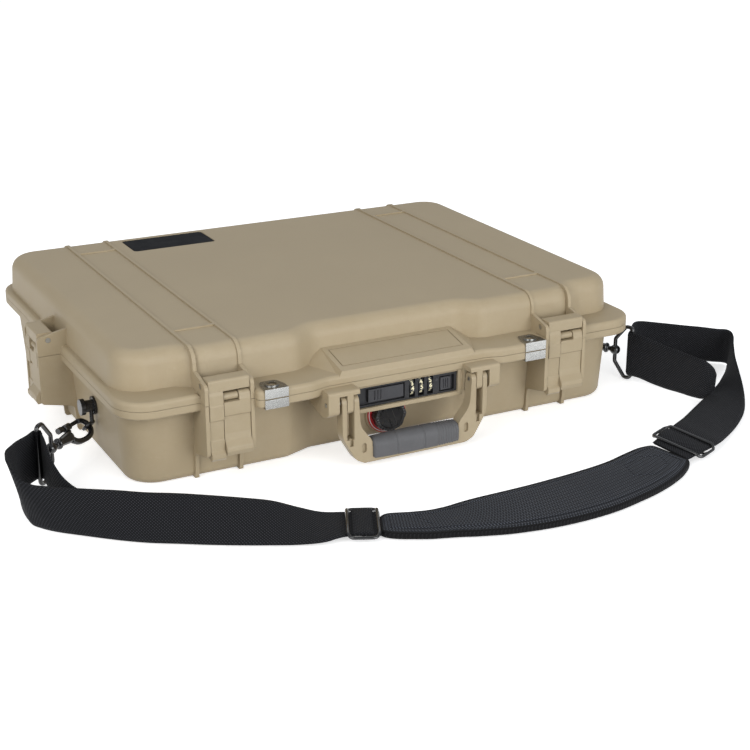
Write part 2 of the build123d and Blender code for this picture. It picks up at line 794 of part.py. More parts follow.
def lock_slide():
    """Thumb slide on the left; its tab carries the hidden bolt."""
    y0 = lock_front + 0.2
    plate = block(slide_left, slide_right, y0, y0 + 2.8, slide_bottom, slide_top)
    plate -= block(-33, -31.6, y0 - 1, y0 + 0.8, slide_bottom + 1.5, slide_top - 1.5)
    plate -= block(-30, -28.6, y0 - 1, y0 + 0.8, slide_bottom + 1.5, slide_top - 1.5)
    plate -= block(-27, -25.6, y0 - 1, y0 + 0.8, slide_bottom + 1.5, slide_top - 1.5)
    back = lock_front + lock_depth + 2.8
    tab = block(-30.4, -22.3, y0 + 2, back + bolt_thickness, dial_axis_z - 2.6, dial_axis_z + 2.6)
    post = block(-30.4, -22.3, back, back + bolt_thickness, dial_axis_z - 2.6, dial_axis_z + 8.0)
    bolt = block(-30.4, strike_x + 6, back, back + bolt_thickness, dial_axis_z + 3.0, dial_axis_z + 8.0)
    return plate + tab + post + bolt


def lock_button():
    """Small release slide at the right of the dials."""
    y0 = lock_front + 0.2
    button = block(latch_button_left, latch_button_right, y0, y0 + 2.8, dial_axis_z - 7, dial_axis_z + 5)
    middle = (latch_button_left + latch_button_right) / 2
    for x in (middle - 2.2, middle, middle + 2.2):
        button -= block(x - 0.4, x + 0.4, y0 - 1, y0 + 0.7, dial_axis_z - 5.5, dial_axis_z + 3.5)
    return button


def reset_button():
    return rod_y(reset_r, reset_x, lock_front - 0.3, lock_front + 6, reset_z)


def lock_strike():
    """Plate that hangs from the lid into the lock; the bolt passes through its window."""
    back = lock_front + lock_depth
    x1 = strike_x + strike_thickness
    plate = block(strike_x, x1, back + 1.2, back + 8.6, dial_axis_z - 2, lid_bottom)
    foot = block(strike_x - 8, x1 + 5, back + 1.2, back + 8.6, lid_bottom - 1.8, lid_bottom)
    window = block(strike_x - 1, x1 + 1, back + 2.2, back + 6.6, dial_axis_z + 2.2, dial_axis_z + 8.8)
    return plate + foot - window


# ---------- pressure valve ----------
def valve_ring():
    y1 = foot_front + recess_depth - valve_boss_reach - 0.1
    ring = rod_y(valve_ring_r, 0, y1 - valve_ring_thickness, y1, valve_z)
    return ring - rod_y(valve_stem_r + 1.0, 0, y1 - 5, y1 + 1, valve_z)


def valve_knob():
    y1 = foot_front + recess_depth - valve_boss_reach - valve_ring_thickness - 0.4
    knob = rod_y(valve_knob_r, 0, y1 - valve_knob_depth, y1, valve_z)
    knob = chamfer(knob.edges(), 1.0)
    for i in range(valve_flutes):
        a = math.radians(360.0 * i / valve_flutes)
        x = (valve_knob_r + 0.6) * math.cos(a)
        z = (valve_knob_r + 0.6) * math.sin(a) + valve_z
        knob -= rod_y(1.5, x, y1 - valve_knob_depth - 1, y1 + 1, z)
    knob -= rod_y(valve_knob_r * 0.62, 0, y1 - valve_knob_depth - 1, y1 - valve_knob_depth + 1.2, valve_z)
    knob += block(-2.2, 2.2, y1 - valve_knob_depth, y1 - valve_knob_depth + 2, valve_z - 9, valve_z + 9)
    knob += rod_y(valve_stem_r, 0, y1 - 1, y1 + 10, valve_z)
    return knob


# ---------- strap hardware ----------
def hook_plane(side):
    """Frame of a snap hook: x runs along the hook, z is the normal of its flat."""
    sign = -1 if side == "left" else 1
    a = math.radians(hook_heading[side])
    lean = math.sin(math.radians(hook_lean))
    up = math.cos(math.radians(hook_lean)) * (1 if side == "left" else -1)
    normal = (-math.sin(a) * lean, math.cos(a) * lean, up)
    return Plane(origin=(sign * eye_x, stud_y, eye_z), x_dir=(math.cos(a), math.sin(a), 0), z_dir=normal)


def ring_plane(side):
    """Upright frame of a strap ring: x runs along the hook, y is up."""
    sign = -1 if side == "left" else 1
    a = math.radians(hook_heading[side])
    return Plane(origin=(sign * eye_x, stud_y, eye_z), x_dir=(math.cos(a), math.sin(a), 0),
                 z_dir=(math.sin(a), -math.cos(a), 0))


def strap_stud(side):
    sign = -1 if side == "left" else 1
    x0 = foot_half + (stud_z + stud_head_r + 1) * wall_slope + 0.05
    post = rod_x(stud_r, x0, x0 + 11.5, stud_y, stud_z)
    post += rod_x(stud_head_r, x0 + 9.5, x0 + 13.5, stud_y, stud_z)
    post += rod_x(stud_head_r + 1, x0, x0 + 2.0, stud_y, stud_z)
    if side == "left":
        post = mirror(post, Plane.YZ)
    frame = hook_plane(side)
    normal = frame.z_dir if frame.z_dir.Z > 0 else frame.z_dir * -1
    top = frame.origin + normal * eye_ring_r
    neck = rod_z(eye_wire_r + 0.4, top.X, top.Y, top.Z - 0.5, stud_z - stud_r + 2.5)
    eye = Plane(origin=frame.origin, x_dir=frame.x_dir, z_dir=frame.y_dir) * Torus(eye_ring_r, eye_wire_r)
    return post + neck + eye


def snap_hook(side):
    """Flat eye with a gate opening, a tapering shank and a swivel head."""
    half = hook_eye_width / 2
    left = -hook_wire / 2
    right = left + hook_eye_length
    outline = rounded([(left, -half, 9.0), (right, -half, 6.0), (right, half, 6.0), (left, half, 9.0)])
    hole = rounded([
        (left + hook_wire, -half + hook_wire, 4.0), (right - hook_wire, -half + hook_wire, 4.0),
        (right - hook_wire, half - hook_wire, 4.0), (left + hook_wire, half - hook_wire, 4.0),
    ])
    hook = Pos(0, 0, -hook_wire / 2) * extrude(outline - hole, hook_wire)
    hook -= block(9.0, 20.5, -half - 1, -half + hook_wire + 0.5, -5, 5)
    hook -= Pos(22, gate_y, 0) * Rot(0, 90, 0) * Cylinder(gate_r + running_clearance, 20)
    shank = Pos((right + shank_end) / 2 - 1, 0, 0) * Rot(0, 90, 0) * Cone(5.2, 4.0, shank_end - right + 2)
    collar = Pos(shank_end + 1, 0, 0) * Rot(0, 90, 0) * Cylinder(5.0, 2.0)
    neck = Pos(shank_end + 3, 0, 0) * Rot(0, 90, 0) * Cylinder(2.4, 5.0)
    head = Pos(ring_arch, 0, 0) * Sphere(5.0)
    return hook_plane(side) * (hook + shank + collar + neck + head) - ring_wire_at(side, ring_wire_r + 0.3)


def ring_wire_at(side, r):
    """Round wire bent into a flat-ended ring for the webbing."""
    half = ring_height / 2
    mid = (ring_arch + ring_bar) / 2 + 2
    path = Polyline((ring_bar, 0, 0), (ring_bar, half, 0), (mid, half, 0), (ring_arch, half * 0.45, 0),
                    (ring_arch, -half * 0.45, 0), (mid, -half, 0), (ring_bar, -half, 0), close=True)
    corners = [v for v in path.vertices() if abs(v.Y) > 1]
    path = fillet(corners, 4.0)
    section = Plane(origin=(ring_bar, 0, 0), z_dir=(0, 1, 0)) * Circle(r)
    return ring_plane(side) * sweep(section, path=path)


def hook_gate(side):
    """Sliding gate rod with its thumb knob."""
    gate = Pos(9.3 + 13.5, gate_y, 0) * Rot(0, 90, 0) * Cylinder(gate_r, 27.0)
    gate += Pos(34.5, gate_y - 1.0, 0) * Rot(0, 90, 0) * Cylinder(2.8, 5.0)
    return hook_plane(side) * gate


# ---------- strap ----------
def ring_bar_at(side):
    sign = -1 if side == "left" else 1
    a = math.radians(hook_heading[side])
    return sign * eye_x + ring_bar * math.cos(a), stud_y + ring_bar * math.sin(a)


def wrap_edges(side, start_deg, end_deg, count):
    """Stations of the webbing where it turns upright round the bar of a strap ring."""
    bx, by = ring_bar_at(side)
    low = eye_z - webbing_width / 2
    points = []
    for i in range(count):
        a = math.radians(start_deg + (end_deg - start_deg) * i / (count - 1))
        x, y = bx + wrap_r * math.cos(a), by + wrap_r * math.sin(a)
        points.append((x, y, low, x, y, low + webbing_width))
    return points


def band(stations, thickness):
    """Strip of cloth: each station gives its two edges, lower then upper, joined by straight panels."""
    middles = [Vector((a + d) / 2, (b + e) / 2, (c + f) / 2) for a, b, c, d, e, f in stations]
    sections = []
    for i, (a, b, c, d, e, f) in enumerate(stations):
        tangent = (middles[min(i + 1, len(middles) - 1)] - middles[max(i - 1, 0)]).normalized()
        low, high = Vector(a, b, c), Vector(d, e, f)
        half = tangent.cross(high - low).normalized() * (-thickness / 2)
        sections.append([low - half, high - half, high + half, low + half])
    faces = [Face(Wire.make_polygon(sections[0])), Face(Wire.make_polygon(sections[-1][::-1]))]
    for here, there in zip(sections, sections[1:]):
        for k in range(4):
            n = (k + 1) % 4
            faces.append(Face(Wire.make_polygon([here[n], here[k], there[k]])))
            faces.append(Face(Wire.make_polygon([here[n], there[k], there[n]])))
    return Solid(Shell(faces))


left_edges = (
    [(-297.5, -250.0, 1.5, -306.5, -214.0, 27.0), (-305.0, -238.0, 1.5, -309.8, -208.0, 29.0),
     (-311.0, -222.0, 2.0, -314.0, -198.0, 33.5), (-315.5, -198.0, 3.5, -317.5, -184.0, 42.0),
     (-317.0, -176.0, 5.0, -317.5, -170.0, 49.0), (-316.0, -158.0, 6.0, -316.0, -156.0, 52.0)]
    + wrap_edges("left", -25.0, 130.0, 8)
    + [(-328.0, -143.5, 6, -328.0, -144.5, 52), (-337.0, -154.0, 5, -338.5, -154.5, 53),
       (-343.5, -176.0, 3.5, -347.5, -168.0, 55), (-345.8, -200.0, 1.8, -354.5, -180.0, 56.5),
       (-344.8, -213.4, 1.5, -357.1, -189.4, 55.5), (-341.0, -221.0, 1.5, -355.0, -197.0, 48.0),
       (-336.0, -228.5, 1.5, -350.5, -203.5, 41.0), (-329.2, -236.5, 1.5, -342.5, -209.2, 36.0),
       (-317.6, -247.6, 1.5, -324.6, -214.7, 32.4), (-303.5, -260.9, 1.5, -303.8, -225.9, 30.8),
       (-287.4, -275.3, 1.5, -281.2, -240.3, 30.5), (-270.9, -287.9, 1.5, -261.4, -253.4, 29.8),
       (-250.3, -300.6, 1.5, -237.9, -266.6, 29.3), (-229.8, -313.3, 1.5, -215.1, -278.8, 27.7),
       (-209.0, -325.1, 1.5, -191.0, -290.2, 25.0), (-187.9, -336.1, 1.5, -169.4, -299.2, 21.4),
       (-166.8, -347.1, 2.0, -148.9, -306.8, 14.2), (-149.2, -355.0, 3.5, -132.0, -313.0, 9.0),
       (-131.3, -357.1, 5.2, -112.1, -315.3, 5.4), (-104.9, -369.1, 5.2, -85.7, -327.3, 5.2)]
)
pad_edges = [
    (-101.1, -362.2, 4, -91.5, -341.3, 4), (-97.3, -367.6, 4, -85.0, -337.5, 4), (-90.5, -372.8, 4, -77.0, -339.5, 4),
    (-79.9, -378.4, 4, -66.5, -343.5, 4), (-69.2, -383.9, 4, -57.5, -346.2, 4), (-57.7, -387.9, 4, -48.5, -348.2, 4),
    (-46.1, -391.9, 4, -40.0, -348.6, 4), (-35.0, -396.7, 4, -31.0, -348.4, 4), (-23.4, -400.8, 4, -21.5, -347.0, 4),
    (-11.7, -404.8, 4, -11.5, -346.0, 4), (0.6, -407.8, 4, 0.0, -345.4, 4), (26.6, -412.1, 4, 24.0, -345.1, 4),
    (54.9, -413.7, 4, 50.5, -344.4, 4), (86.1, -412.0, 4, 79.0, -342.5, 4), (103.4, -409.1, 4, 94.5, -341.2, 4),
    (122.2, -404.5, 4, 111.0, -339.3, 4), (141.9, -399.1, 4, 127.5, -337.0, 4), (161.2, -391.9, 4, 144.0, -333.5, 4),
    (176.0, -385.0, 4, 158.0, -329.0, 4), (187.5, -378.3, 4, 171.0, -325.2, 4), (197.0, -371.0, 4, 183.0, -322.3, 4),
    (204.5, -363.5, 4, 196.0, -322.5, 4),
]
right_edges = (
    [(196.5, -322.3, 9.5, 205.0, -363.3, 6.5), (232.0, -308.2, 15.5, 248.5, -350.5, 8.0),
     (250.9, -296.6, 14.0, 268.1, -338.5, 6.0), (280.2, -276.2, 12.0, 299.1, -317.2, 4.5),
     (307.1, -256.4, 9.0, 321.3, -300.2, 7.3), (334.1, -235.8, 5.0, 338.2, -281.3, 10.9),
     (356.4, -218.1, 2.2, 351.8, -261.5, 16.9), (371.1, -206.5, 1.5, 360.7, -243.8, 25.9),
     (386.2, -194.5, 1.5, 371.6, -223.7, 33.5), (399.0, -182.0, 1.5, 384.0, -205.5, 39.0),
     (406.7, -172.9, 1.5, 396.0, -189.0, 43.0), (405.5, -166.5, 1.5, 396.0, -180.5, 44.0),
     (399.1, -161.2, 1.5, 388.5, -174.3, 44.0), (388.4, -151.2, 1.5, 378.0, -164.1, 44.5),
     (371.6, -138.9, 1.5, 362.5, -150.7, 45.0), (347.3, -125.1, 2.0, 340.9, -134.2, 46.5),
     (326.0, -124.5, 4.0, 322.0, -129.5, 49.5), (308.0, -137.5, 6.0, 306.5, -139.0, 52.0),
     (297.0, -150.5, 6.0, 297.0, -150.5, 52.0)]
    + wrap_edges("right", 125.0, 222.0, 5)
    + [(291.5, -172.0, 6.0, 291.5, -172.0, 52.0), (297.5, -186.0, 3.5, 297.5, -184.0, 49.4),
       (304.5, -201.5, 1.5, 302.6, -203.2, 47.4), (310.0, -217.8, 1.5, 306.4, -223.8, 47.0),
       (314.5, -233.0, 1.5, 308.8, -241.0, 46.7), (320.5, -243.0, 2.0, 313.5, -252.0, 45.3),
       (328.5, -246.5, 6.0, 322.5, -256.0, 40.0)]
)


def webbing_left():
    return band(left_edges, webbing_thickness)


def webbing_right():
    return band(right_edges, webbing_thickness)


def shoulder_pad():
    return band(pad_edges, pad_thickness)


def slider(first, second):
    """Three-bar buckle threaded on the webbing between two stations."""
    a = Vector(*first[:3]), Vector(*first[3:])
    b = Vector(*second[:3]), Vector(*second[3:])
    start, end = (a[0] + a[1]) * 0.5, (b[0] + b[1]) * 0.5
    along = (end - start).normalized()
    across = ((a[1] - a[0]) + (b[1] - b[0])).normalized()
    frame = Plane(origin=(start + end) * 0.5, x_dir=along, z_dir=along.cross(across))
    half_w = webbing_width / 2 + 1.0
    lift = webbing_thickness / 2 + 0.9
    u = slider_length / 2
    tall = lift + slider_bar
    ends = rounded([(-u, -half_w - slider_bar, 4.0), (u, -half_w - slider_bar, 4.0),
                    (u, half_w + slider_bar, 4.0), (-u, half_w + slider_bar, 4.0)])
    hole = Rectangle(2 * u - 2 * slider_bar, 2 * half_w)
    shape = Pos(0, 0, lift) * extrude(ends - hole, slider_bar)
    for w in (-half_w - slider_bar, half_w):
        shape += block(-u * 0.6, u * 0.6, w, w + slider_bar, -tall, lift + 1)
    shape += block(-slider_bar / 2, slider_bar / 2, -half_w - 1, half_w + 1, -tall, -lift)
    return frame * shape


# ---------- write the nodes ----------
nodes = {
    "base_shell": base_shell(),
    "base_foam": base_foam(),
    "hasp_base": group(hasp_base(), mirror(hasp_base(), Plane.YZ)),
    "handle_pins": handle_pins(),
    "lock_housing": lock_housing(),
    "dial_axle": dial_axle(),
    "valve_ring": valve_ring(),
    "hinge_pins": hinge_pins(),
    "strap_studs": group(strap_stud("left"), strap_stud("right")),
    "webbing_left": webbing_left(),
    "webbing_right": webbing_right(),
    "shoulder_pad": shoulder_pad(),
    "slider_left": slider(left_edges[-2], left_edges[-1]),
    "slider_right": slider(right_edges[0], right_edges[1]),
    "lid_shell": lid_shell(),
    "lid_seal": lid_seal(),
    "lid_foam": lid_foam(),
    "hasp_lid": group(hasp_lid(), mirror(hasp_lid(), Plane.YZ)),
    "latch_pins": latch_pins(),
    "lock_strike": lock_strike(),
    "handle_frame": handle_frame(),
    "handle_grip": handle_grip(),
    "lock_slide": lock_slide(),
    "lock_button": lock_button(),
    "reset_button": reset_button(),
    "valve_knob": valve_knob(),
}
for name, (place, reach) in latch_places.items():
    nodes["latch_jaw_" + name] = place * latch_jaw()
    nodes["latch_lever_" + name] = place * latch_lever()
    nodes["lever_pin_" + name] = place * lever_pin()
for index, x in enumerate(dial_centres()):
    nodes["lock_dial_" + str(index + 1)] = Pos(x, dial_axis_y, dial_axis_z) * lock_dial()
for side in ("left", "right"):
    nodes["snap_hook_" + side] = snap_hook(side)
    nodes["hook_gate_" + side] = hook_gate(side)
    nodes["strap_ring_" + side] = ring_wire_at(side, ring_wire_r)

os.makedirs("parts", exist_ok=True)
for name, shape in nodes.items():
    solids = shape.solids()
    print(name, len(solids), round(sum(s.volume for s in solids)), shape.is_valid)
    export_step(shape, "parts/" + name + ".step")
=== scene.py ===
import math

import bmesh
import bpy
import numpy as np
from bpy.props import FloatProperty, FloatVectorProperty, IntProperty, PointerProperty
from mathutils import Matrix, Vector


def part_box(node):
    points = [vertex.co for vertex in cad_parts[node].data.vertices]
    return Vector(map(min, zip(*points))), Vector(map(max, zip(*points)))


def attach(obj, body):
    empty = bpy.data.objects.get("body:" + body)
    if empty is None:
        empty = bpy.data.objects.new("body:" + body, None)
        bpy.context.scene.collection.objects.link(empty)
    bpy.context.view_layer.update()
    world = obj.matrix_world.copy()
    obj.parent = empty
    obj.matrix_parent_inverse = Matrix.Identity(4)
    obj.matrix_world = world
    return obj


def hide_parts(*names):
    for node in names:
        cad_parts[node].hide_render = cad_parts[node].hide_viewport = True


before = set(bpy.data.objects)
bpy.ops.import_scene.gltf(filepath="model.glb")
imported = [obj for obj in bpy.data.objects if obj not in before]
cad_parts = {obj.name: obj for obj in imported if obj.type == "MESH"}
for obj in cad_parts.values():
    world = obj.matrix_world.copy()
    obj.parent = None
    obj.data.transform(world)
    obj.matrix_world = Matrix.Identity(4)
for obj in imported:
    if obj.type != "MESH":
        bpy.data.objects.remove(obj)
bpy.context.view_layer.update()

bl_info = {
    "name": "Laptop Hard Case",
    "version": (1, 0, 0),
    "blender": (4, 5, 0),
    "location": "3D View > Sidebar > Hard Case",
    "description": "Dresses the laptop hard case: moulded shells, latches, lock, valve, grip and shoulder strap",
    "category": "Add Mesh",
}

MM = 0.001
UP = np.array([0, 0, 1.0])
# even step of the pad's outline for its binding, in metres
LOOP_STEP = 0.002


# ---------------------------------------------------------------- settings
def colour(name, text, value):
    return FloatVectorProperty(name=name, description=text, subtype="COLOR", size=3, min=0, max=1, default=value)


def length(name, text, value):
    return FloatProperty(name=name, description=text, subtype="DISTANCE", unit="LENGTH", default=value, precision=5)


class CaseColours(bpy.types.PropertyGroup):
    shell: colour("Shell", "Colour of the moulded shells, latches and handle", (0.400, 0.322, 0.205))
    shell_worn: colour("Worn shell", "Colour of rubbed and dusty places on the shells", (0.480, 0.405, 0.285))
    foam: colour("Foam", "Colour of the inner foam", (0.030, 0.031, 0.034))
    steel: colour("Steel", "Colour of the padlock plates and pins", (0.62, 0.62, 0.60))
    lock: colour("Lock", "Colour of the lock housing and slides", (0.018, 0.018, 0.020))
    digits: colour("Digits", "Colour of the figures on the dials", (0.98, 0.90, 0.60))
    valve: colour("Valve", "Colour of the valve knob", (0.012, 0.012, 0.013))
    ring: colour("Valve ring", "Colour of the ring behind the valve knob", (0.58, 0.02, 0.03))
    ring_mark: colour("Valve ring mark", "Colour of the pale band on the valve ring", (0.80, 0.82, 0.80))
    grip: colour("Grip", "Colour of the rubber grip", (0.090, 0.090, 0.094))
    webbing: colour("Webbing", "Colour of the strap webbing", (0.0125, 0.013, 0.015))
    pad: colour("Pad", "Colour of the shoulder pad's cloth", (0.023, 0.025, 0.030))
    trim: colour("Pad trim", "Colour of the binding round the pad", (0.008, 0.008, 0.009))
    hook: colour("Hooks", "Colour of the hooks, rings and buckles", (0.010, 0.010, 0.011))
    badge: colour("Badge", "Colour of the bare plate on the lid", (0.0045, 0.005, 0.0065))


class StrapSizes(bpy.types.PropertyGroup):
    webbing_width: length("Webbing width", "Width of the woven strap", 0.046)
    webbing_thickness: length("Webbing thickness", "Thickness of the woven strap", 0.0022)
    pad_thickness: length("Pad thickness", "Thickness of the shoulder pad at its middle", 0.008)
    pad_groove: length("Pad groove", "Distance of the stitched groove from the pad's outline", 0.0062)
    step: length("Step", "Distance between two rows of the strap's surface", 0.0022)


class DetailSizes(bpy.types.PropertyGroup):
    grip_ribs: IntProperty(name="Grip ribs", description="Fine ribs near the right end of the grip", default=8,
                           min=0, max=40)
    badge_width: length("Badge width", "Width of the bare plate on the lid", 0.0886)
    badge_depth: length("Badge depth", "Depth of the bare plate on the lid", 0.0436)
    digit_height: length("Digit height", "Height of the figures on the dials", 0.0043)


# ---------------------------------------------------------------- surfaces
def grid(*parts):
    """Arrays whose shapes match, as the coordinates along a new last axis."""
    return np.stack(np.broadcast_arrays(*parts), axis=-1)


def full_turn(count):
    """Even angles round a circle, without the repeated last one."""
    return np.linspace(0, 2 * math.pi, count, endpoint=False)


def bell(distance, width):
    """One at no distance, falling as e to the minus square of the distance over the width."""
    return np.exp(-((distance / width) ** 2))


def add_object(name, data):
    made = bpy.data.objects.new(name, data)
    bpy.context.scene.collection.objects.link(made)
    return made


def sheet_patch(points, wrap=False, uv=None, caps=False):
    """One grid of points, rows by columns: wrap joins the last column to the first, caps closes both end rows."""
    return {"points": np.asarray(points, float), "wrap": wrap, "uv": uv, "caps": caps}


def piece_from(name, patches, material, smooth=True):
    """Mesh object from several grids: each cell (i, j) becomes a quad of its four grid corners."""
    verts, quads, fans, uvs, fan_uvs = [], [], [], [], []
    start = 0
    for patch in patches:
        p = patch["points"]
        n, m = p.shape[:2]
        index = np.arange(n * m).reshape(n, m) + start
        if patch["wrap"]:
            index = np.concatenate([index, index[:, :1]], axis=1)
        quads.append(np.stack([index[:-1, :-1], index[:-1, 1:], index[1:, 1:], index[1:, :-1]], axis=-1).reshape(-1, 4))
        uv = patch["uv"]
        if uv is None:
            uv = np.zeros(index.shape + (2,))
        corners = np.stack([uv[:-1, :-1], uv[:-1, 1:], uv[1:, 1:], uv[1:, :-1]], axis=2)
        uvs.append(corners.reshape(-1, 2))
        if patch["caps"]:
            fans += [index[0, ::-1][:m], index[-1, :m]]
            fan_uvs += [uv[0, :m], uv[-1, :m]]
        verts.append(p.reshape(-1, 3))
        start += n * m
    mesh = bpy.data.meshes.new(name)
    mesh.from_pydata(np.concatenate(verts).tolist(), [], np.concatenate(quads).tolist() + [f.tolist() for f in fans])
    layer = mesh.uv_layers.new(name="UVMap")
    layer.data.foreach_set("uv", np.concatenate(uvs + fan_uvs).astype(np.float32).ravel())
    mesh.polygons.foreach_set("use_smooth", [smooth] * len(mesh.polygons))
    mesh.validate()
    mesh.update()
    mesh.materials.append(material)
    return add_object(name, mesh)


def face_outwards(piece):
    """Merges doubled points and turns every face of a closed shell outwards."""
    b = bmesh.new()
    b.from_mesh(piece.data)
    bmesh.ops.remove_doubles(b, verts=b.verts, dist=1e-6)
    bmesh.ops.recalc_face_normals(b, faces=b.faces)
    b.to_mesh(piece.data)
    b.free()
    return piece


def closed_piece(name, points, material, uv=None, caps=True, smooth=True):
    """Piece from one grid whose last column joins its first, with its faces outwards."""
    return face_outwards(piece_from(name, [sheet_patch(points, wrap=True, uv=uv, caps=caps)], material, smooth))


def curve_through(points, step):
    """Centripetal Catmull-Rom curve through rows of numbers, sampled about every step along its first three."""
    p = np.asarray(points, float)
    p = np.vstack([2 * p[0] - p[1], p, 2 * p[-1] - p[-2]])
    rows = []
    for i in range(1, len(p) - 2):
        a, b, c, d = p[i - 1:i + 3]
        t = np.cumsum([0.0] + [max(np.linalg.norm((v - u)[:3]), 1e-9) ** 0.5 for u, v in ((a, b), (b, c), (c, d))])
        count = max(2, int(round(np.linalg.norm((c - b)[:3]) / step)))
        x = np.linspace(t[1], t[2], count, endpoint=False)[:, None]

        def between(j, k, low, high):
            return (t[k] - x) / (t[k] - t[j]) * low + (x - t[j]) / (t[k] - t[j]) * high

        ab, bc, cd = between(0, 1, a, b), between(1, 2, b, c), between(2, 3, c, d)
        rows.append(between(1, 2, between(0, 2, ab, bc), between(1, 3, bc, cd)))
    rows.append(p[-2][None, :])
    return np.vstack(rows)


def strip_axes(stations, step):
    """Smooths the two edges of a strip: for each row the middle, half the vector from edge to edge, and the unit
    vector through the cloth, which is the way along crossed with the way across."""
    edges = np.array(stations, float) * MM
    path = curve_through(np.hstack([(edges[:, :3] + edges[:, 3:]) / 2, (edges[:, 3:] - edges[:, :3]) / 2]), step)
    through = np.cross(np.gradient(path[:, :3], axis=0), path[:, 3:])
    return path[:, :3], path[:, 3:], through / np.linalg.norm(through, axis=1)[:, None]


def run_lengths(points):
    """Distance along a row of points, from its start."""
    return np.concatenate([[0], np.cumsum(np.linalg.norm(np.diff(points, axis=0), axis=1))])


def woven_band(name, stations, sizes, material, narrowing=None):
    """Webbing: a rounded flat section carried along the smoothed edges, with its UV in metres (along, across)."""
    middle, reach, through = strip_axes(stations, sizes.step)
    along = run_lengths(middle)
    half = sizes.webbing_thickness / 2
    edge = np.linspace(0, 1, 17)
    # the two selvedges are a little thicker than the middle
    bead = half * (0.86 + 0.14 * bell(np.minimum(edge, 1 - edge) - 0.05, 0.035))
    bead = bead * np.sqrt(np.clip(1 - (np.abs(2 * edge - 1)) ** 40, 0.0, 1))
    v = np.concatenate([edge, edge[::-1][1:-1]])
    h = np.concatenate([bead, -bead[::-1][1:-1]])
    low, high = narrowing(along, along[-1]) if narrowing else (np.zeros(len(along)), np.ones(len(along)))
    share = 2 * (low[:, None] + (high - low)[:, None] * v[None, :]) - 1
    points = middle[:, None, :] + reach[:, None, :] * share[:, :, None] + through[:, None, :] * h[None, :, None]
    uv = grid(along[:, None], (np.append(v, 0.0) * sizes.webbing_width)[None, :])
    return closed_piece(name, points, material, uv), along[-1]


def distance_to_line(points, line, closed=False):
    """Distance in plan from each point to a line of points, segment by segment."""
    starts = line if closed else line[:-1]
    ends = np.roll(line, -1, axis=0) if closed else line[1:]
    best = np.full(points.shape[:-1], 1e9)
    for a, b in zip(starts, ends):
        run = b - a
        t = np.clip(((points - a) @ run) / max(run @ run, 1e-12), 0, 1)
        best = np.minimum(best, np.linalg.norm(points - (a + t[..., None] * run), axis=-1))
    return best


def ring_tangents(line):
    """Unit tangents of a closed line, from the point before to the point after."""
    tangent = np.roll(line, -1, axis=0) - np.roll(line, 1, axis=0)
    return tangent / np.linalg.norm(tangent, axis=1)[:, None]


def edge_tape(name, line, across, up, material):
    """Closed tape along a closed line: each row is the same flat oval, across metres wide and up metres tall."""
    tangent = ring_tangents(line)
    side = np.stack([tangent[:, 1], -tangent[:, 0], 0 * tangent[:, 0]], axis=1)
    a = full_turn(14)
    c = np.sign(np.cos(a)) * np.abs(np.cos(a)) ** 0.7 * across / 2
    h = np.sign(np.sin(a)) * np.abs(np.sin(a)) ** 0.7 * up / 2
    points = line[:, None, :] + side[:, None, :] * c[None, :, None] + UP * h[None, :, None]
    points = np.concatenate([points, points[:1]])
    along = run_lengths(line)
    uv = grid(np.append(along, along[-1] + LOOP_STEP)[:, None], np.append(c, c[0])[None, :] * 2)
    return closed_piece(name, points, material, uv, caps=False)


# ---------------------------------------------------------------- shader building blocks
def node(tree, kind, **settings):
    made = tree.nodes.new(kind)
    for key, value in settings.items():
        setattr(made, key, value)
    return made


def plug(tree, target, value):
    """Links a socket to an input, or sets the input to a number, a vector or a colour."""
    if isinstance(value, bpy.types.NodeSocket):
        tree.links.new(value, target)
    elif target.type == "RGBA":
        target.default_value = (*tuple(value)[:3], 1)
    else:
        target.default_value = value


def feed(tree, made, **values):
    """Plugs values into a node's inputs by label, with underscores for spaces."""
    for key, value in values.items():
        plug(tree, made.inputs[key.replace("_", " ")], value)
    return made


def maths(tree, operation, a, b=None):
    made = node(tree, "ShaderNodeMath", operation=operation)
    for target, value in zip(made.inputs, (a, b)):
        if value is not None:
            plug(tree, target, value)
    return made.outputs[0]


def times(tree, a, b):
    return maths(tree, "MULTIPLY", a, b)


def ramp(tree, value, low, high, a=0.0, b=1.0):
    """Maps the value from low..high to a..b, held at both ends."""
    made = node(tree, "ShaderNodeMapRange", clamp=True)
    return feed(tree, made, Value=value, From_Min=low, From_Max=high, To_Min=a, To_Max=b).outputs[0]


def mixed(tree, factor, a, b):
    made = node(tree, "ShaderNodeMix", data_type="RGBA")
    for key, value in ((0, factor), (6, a), (7, b)):
        plug(tree, made.inputs[key], value)
    return made.outputs[2]


def noise(tree, coords, scale, detail=3.0, rough=0.55):
    made = node(tree, "ShaderNodeTexNoise")
    return feed(tree, made, Vector=coords, Scale=scale, Detail=detail, Roughness=rough).outputs["Fac"]


def mapped(tree, coords, **settings):
    return feed(tree, node(tree, "ShaderNodeMapping"), Vector=coords, **settings).outputs[0]


def tone(tint, share, lift=0.0):
    """A colour times a share plus a lift, up to one."""
    return tuple(min(1.0, c * share + lift) for c in tint)


def effect_group(name, inputs, outputs, build):
    """A shader node group, built once: an input without a default is a vector, and every output is a value."""
    if name in bpy.data.node_groups:
        return bpy.data.node_groups[name]
    group = bpy.data.node_groups.new(name, "ShaderNodeTree")
    for label, value in inputs.items():
        kind = "NodeSocketVector" if value is None else "NodeSocketFloat"
        made = group.interface.new_socket(name=label, in_out="INPUT", socket_type=kind)
        if value is not None:
            made.default_value = value
    for label in outputs:
        group.interface.new_socket(name=label, in_out="OUTPUT", socket_type="NodeSocketFloat")
    build(group, group.nodes.new("NodeGroupInput").outputs, group.nodes.new("NodeGroupOutput"))
    return group


def use_group(tree, group, **values):
    return feed(tree, node(tree, "ShaderNodeGroup", node_tree=group), **values).outputs


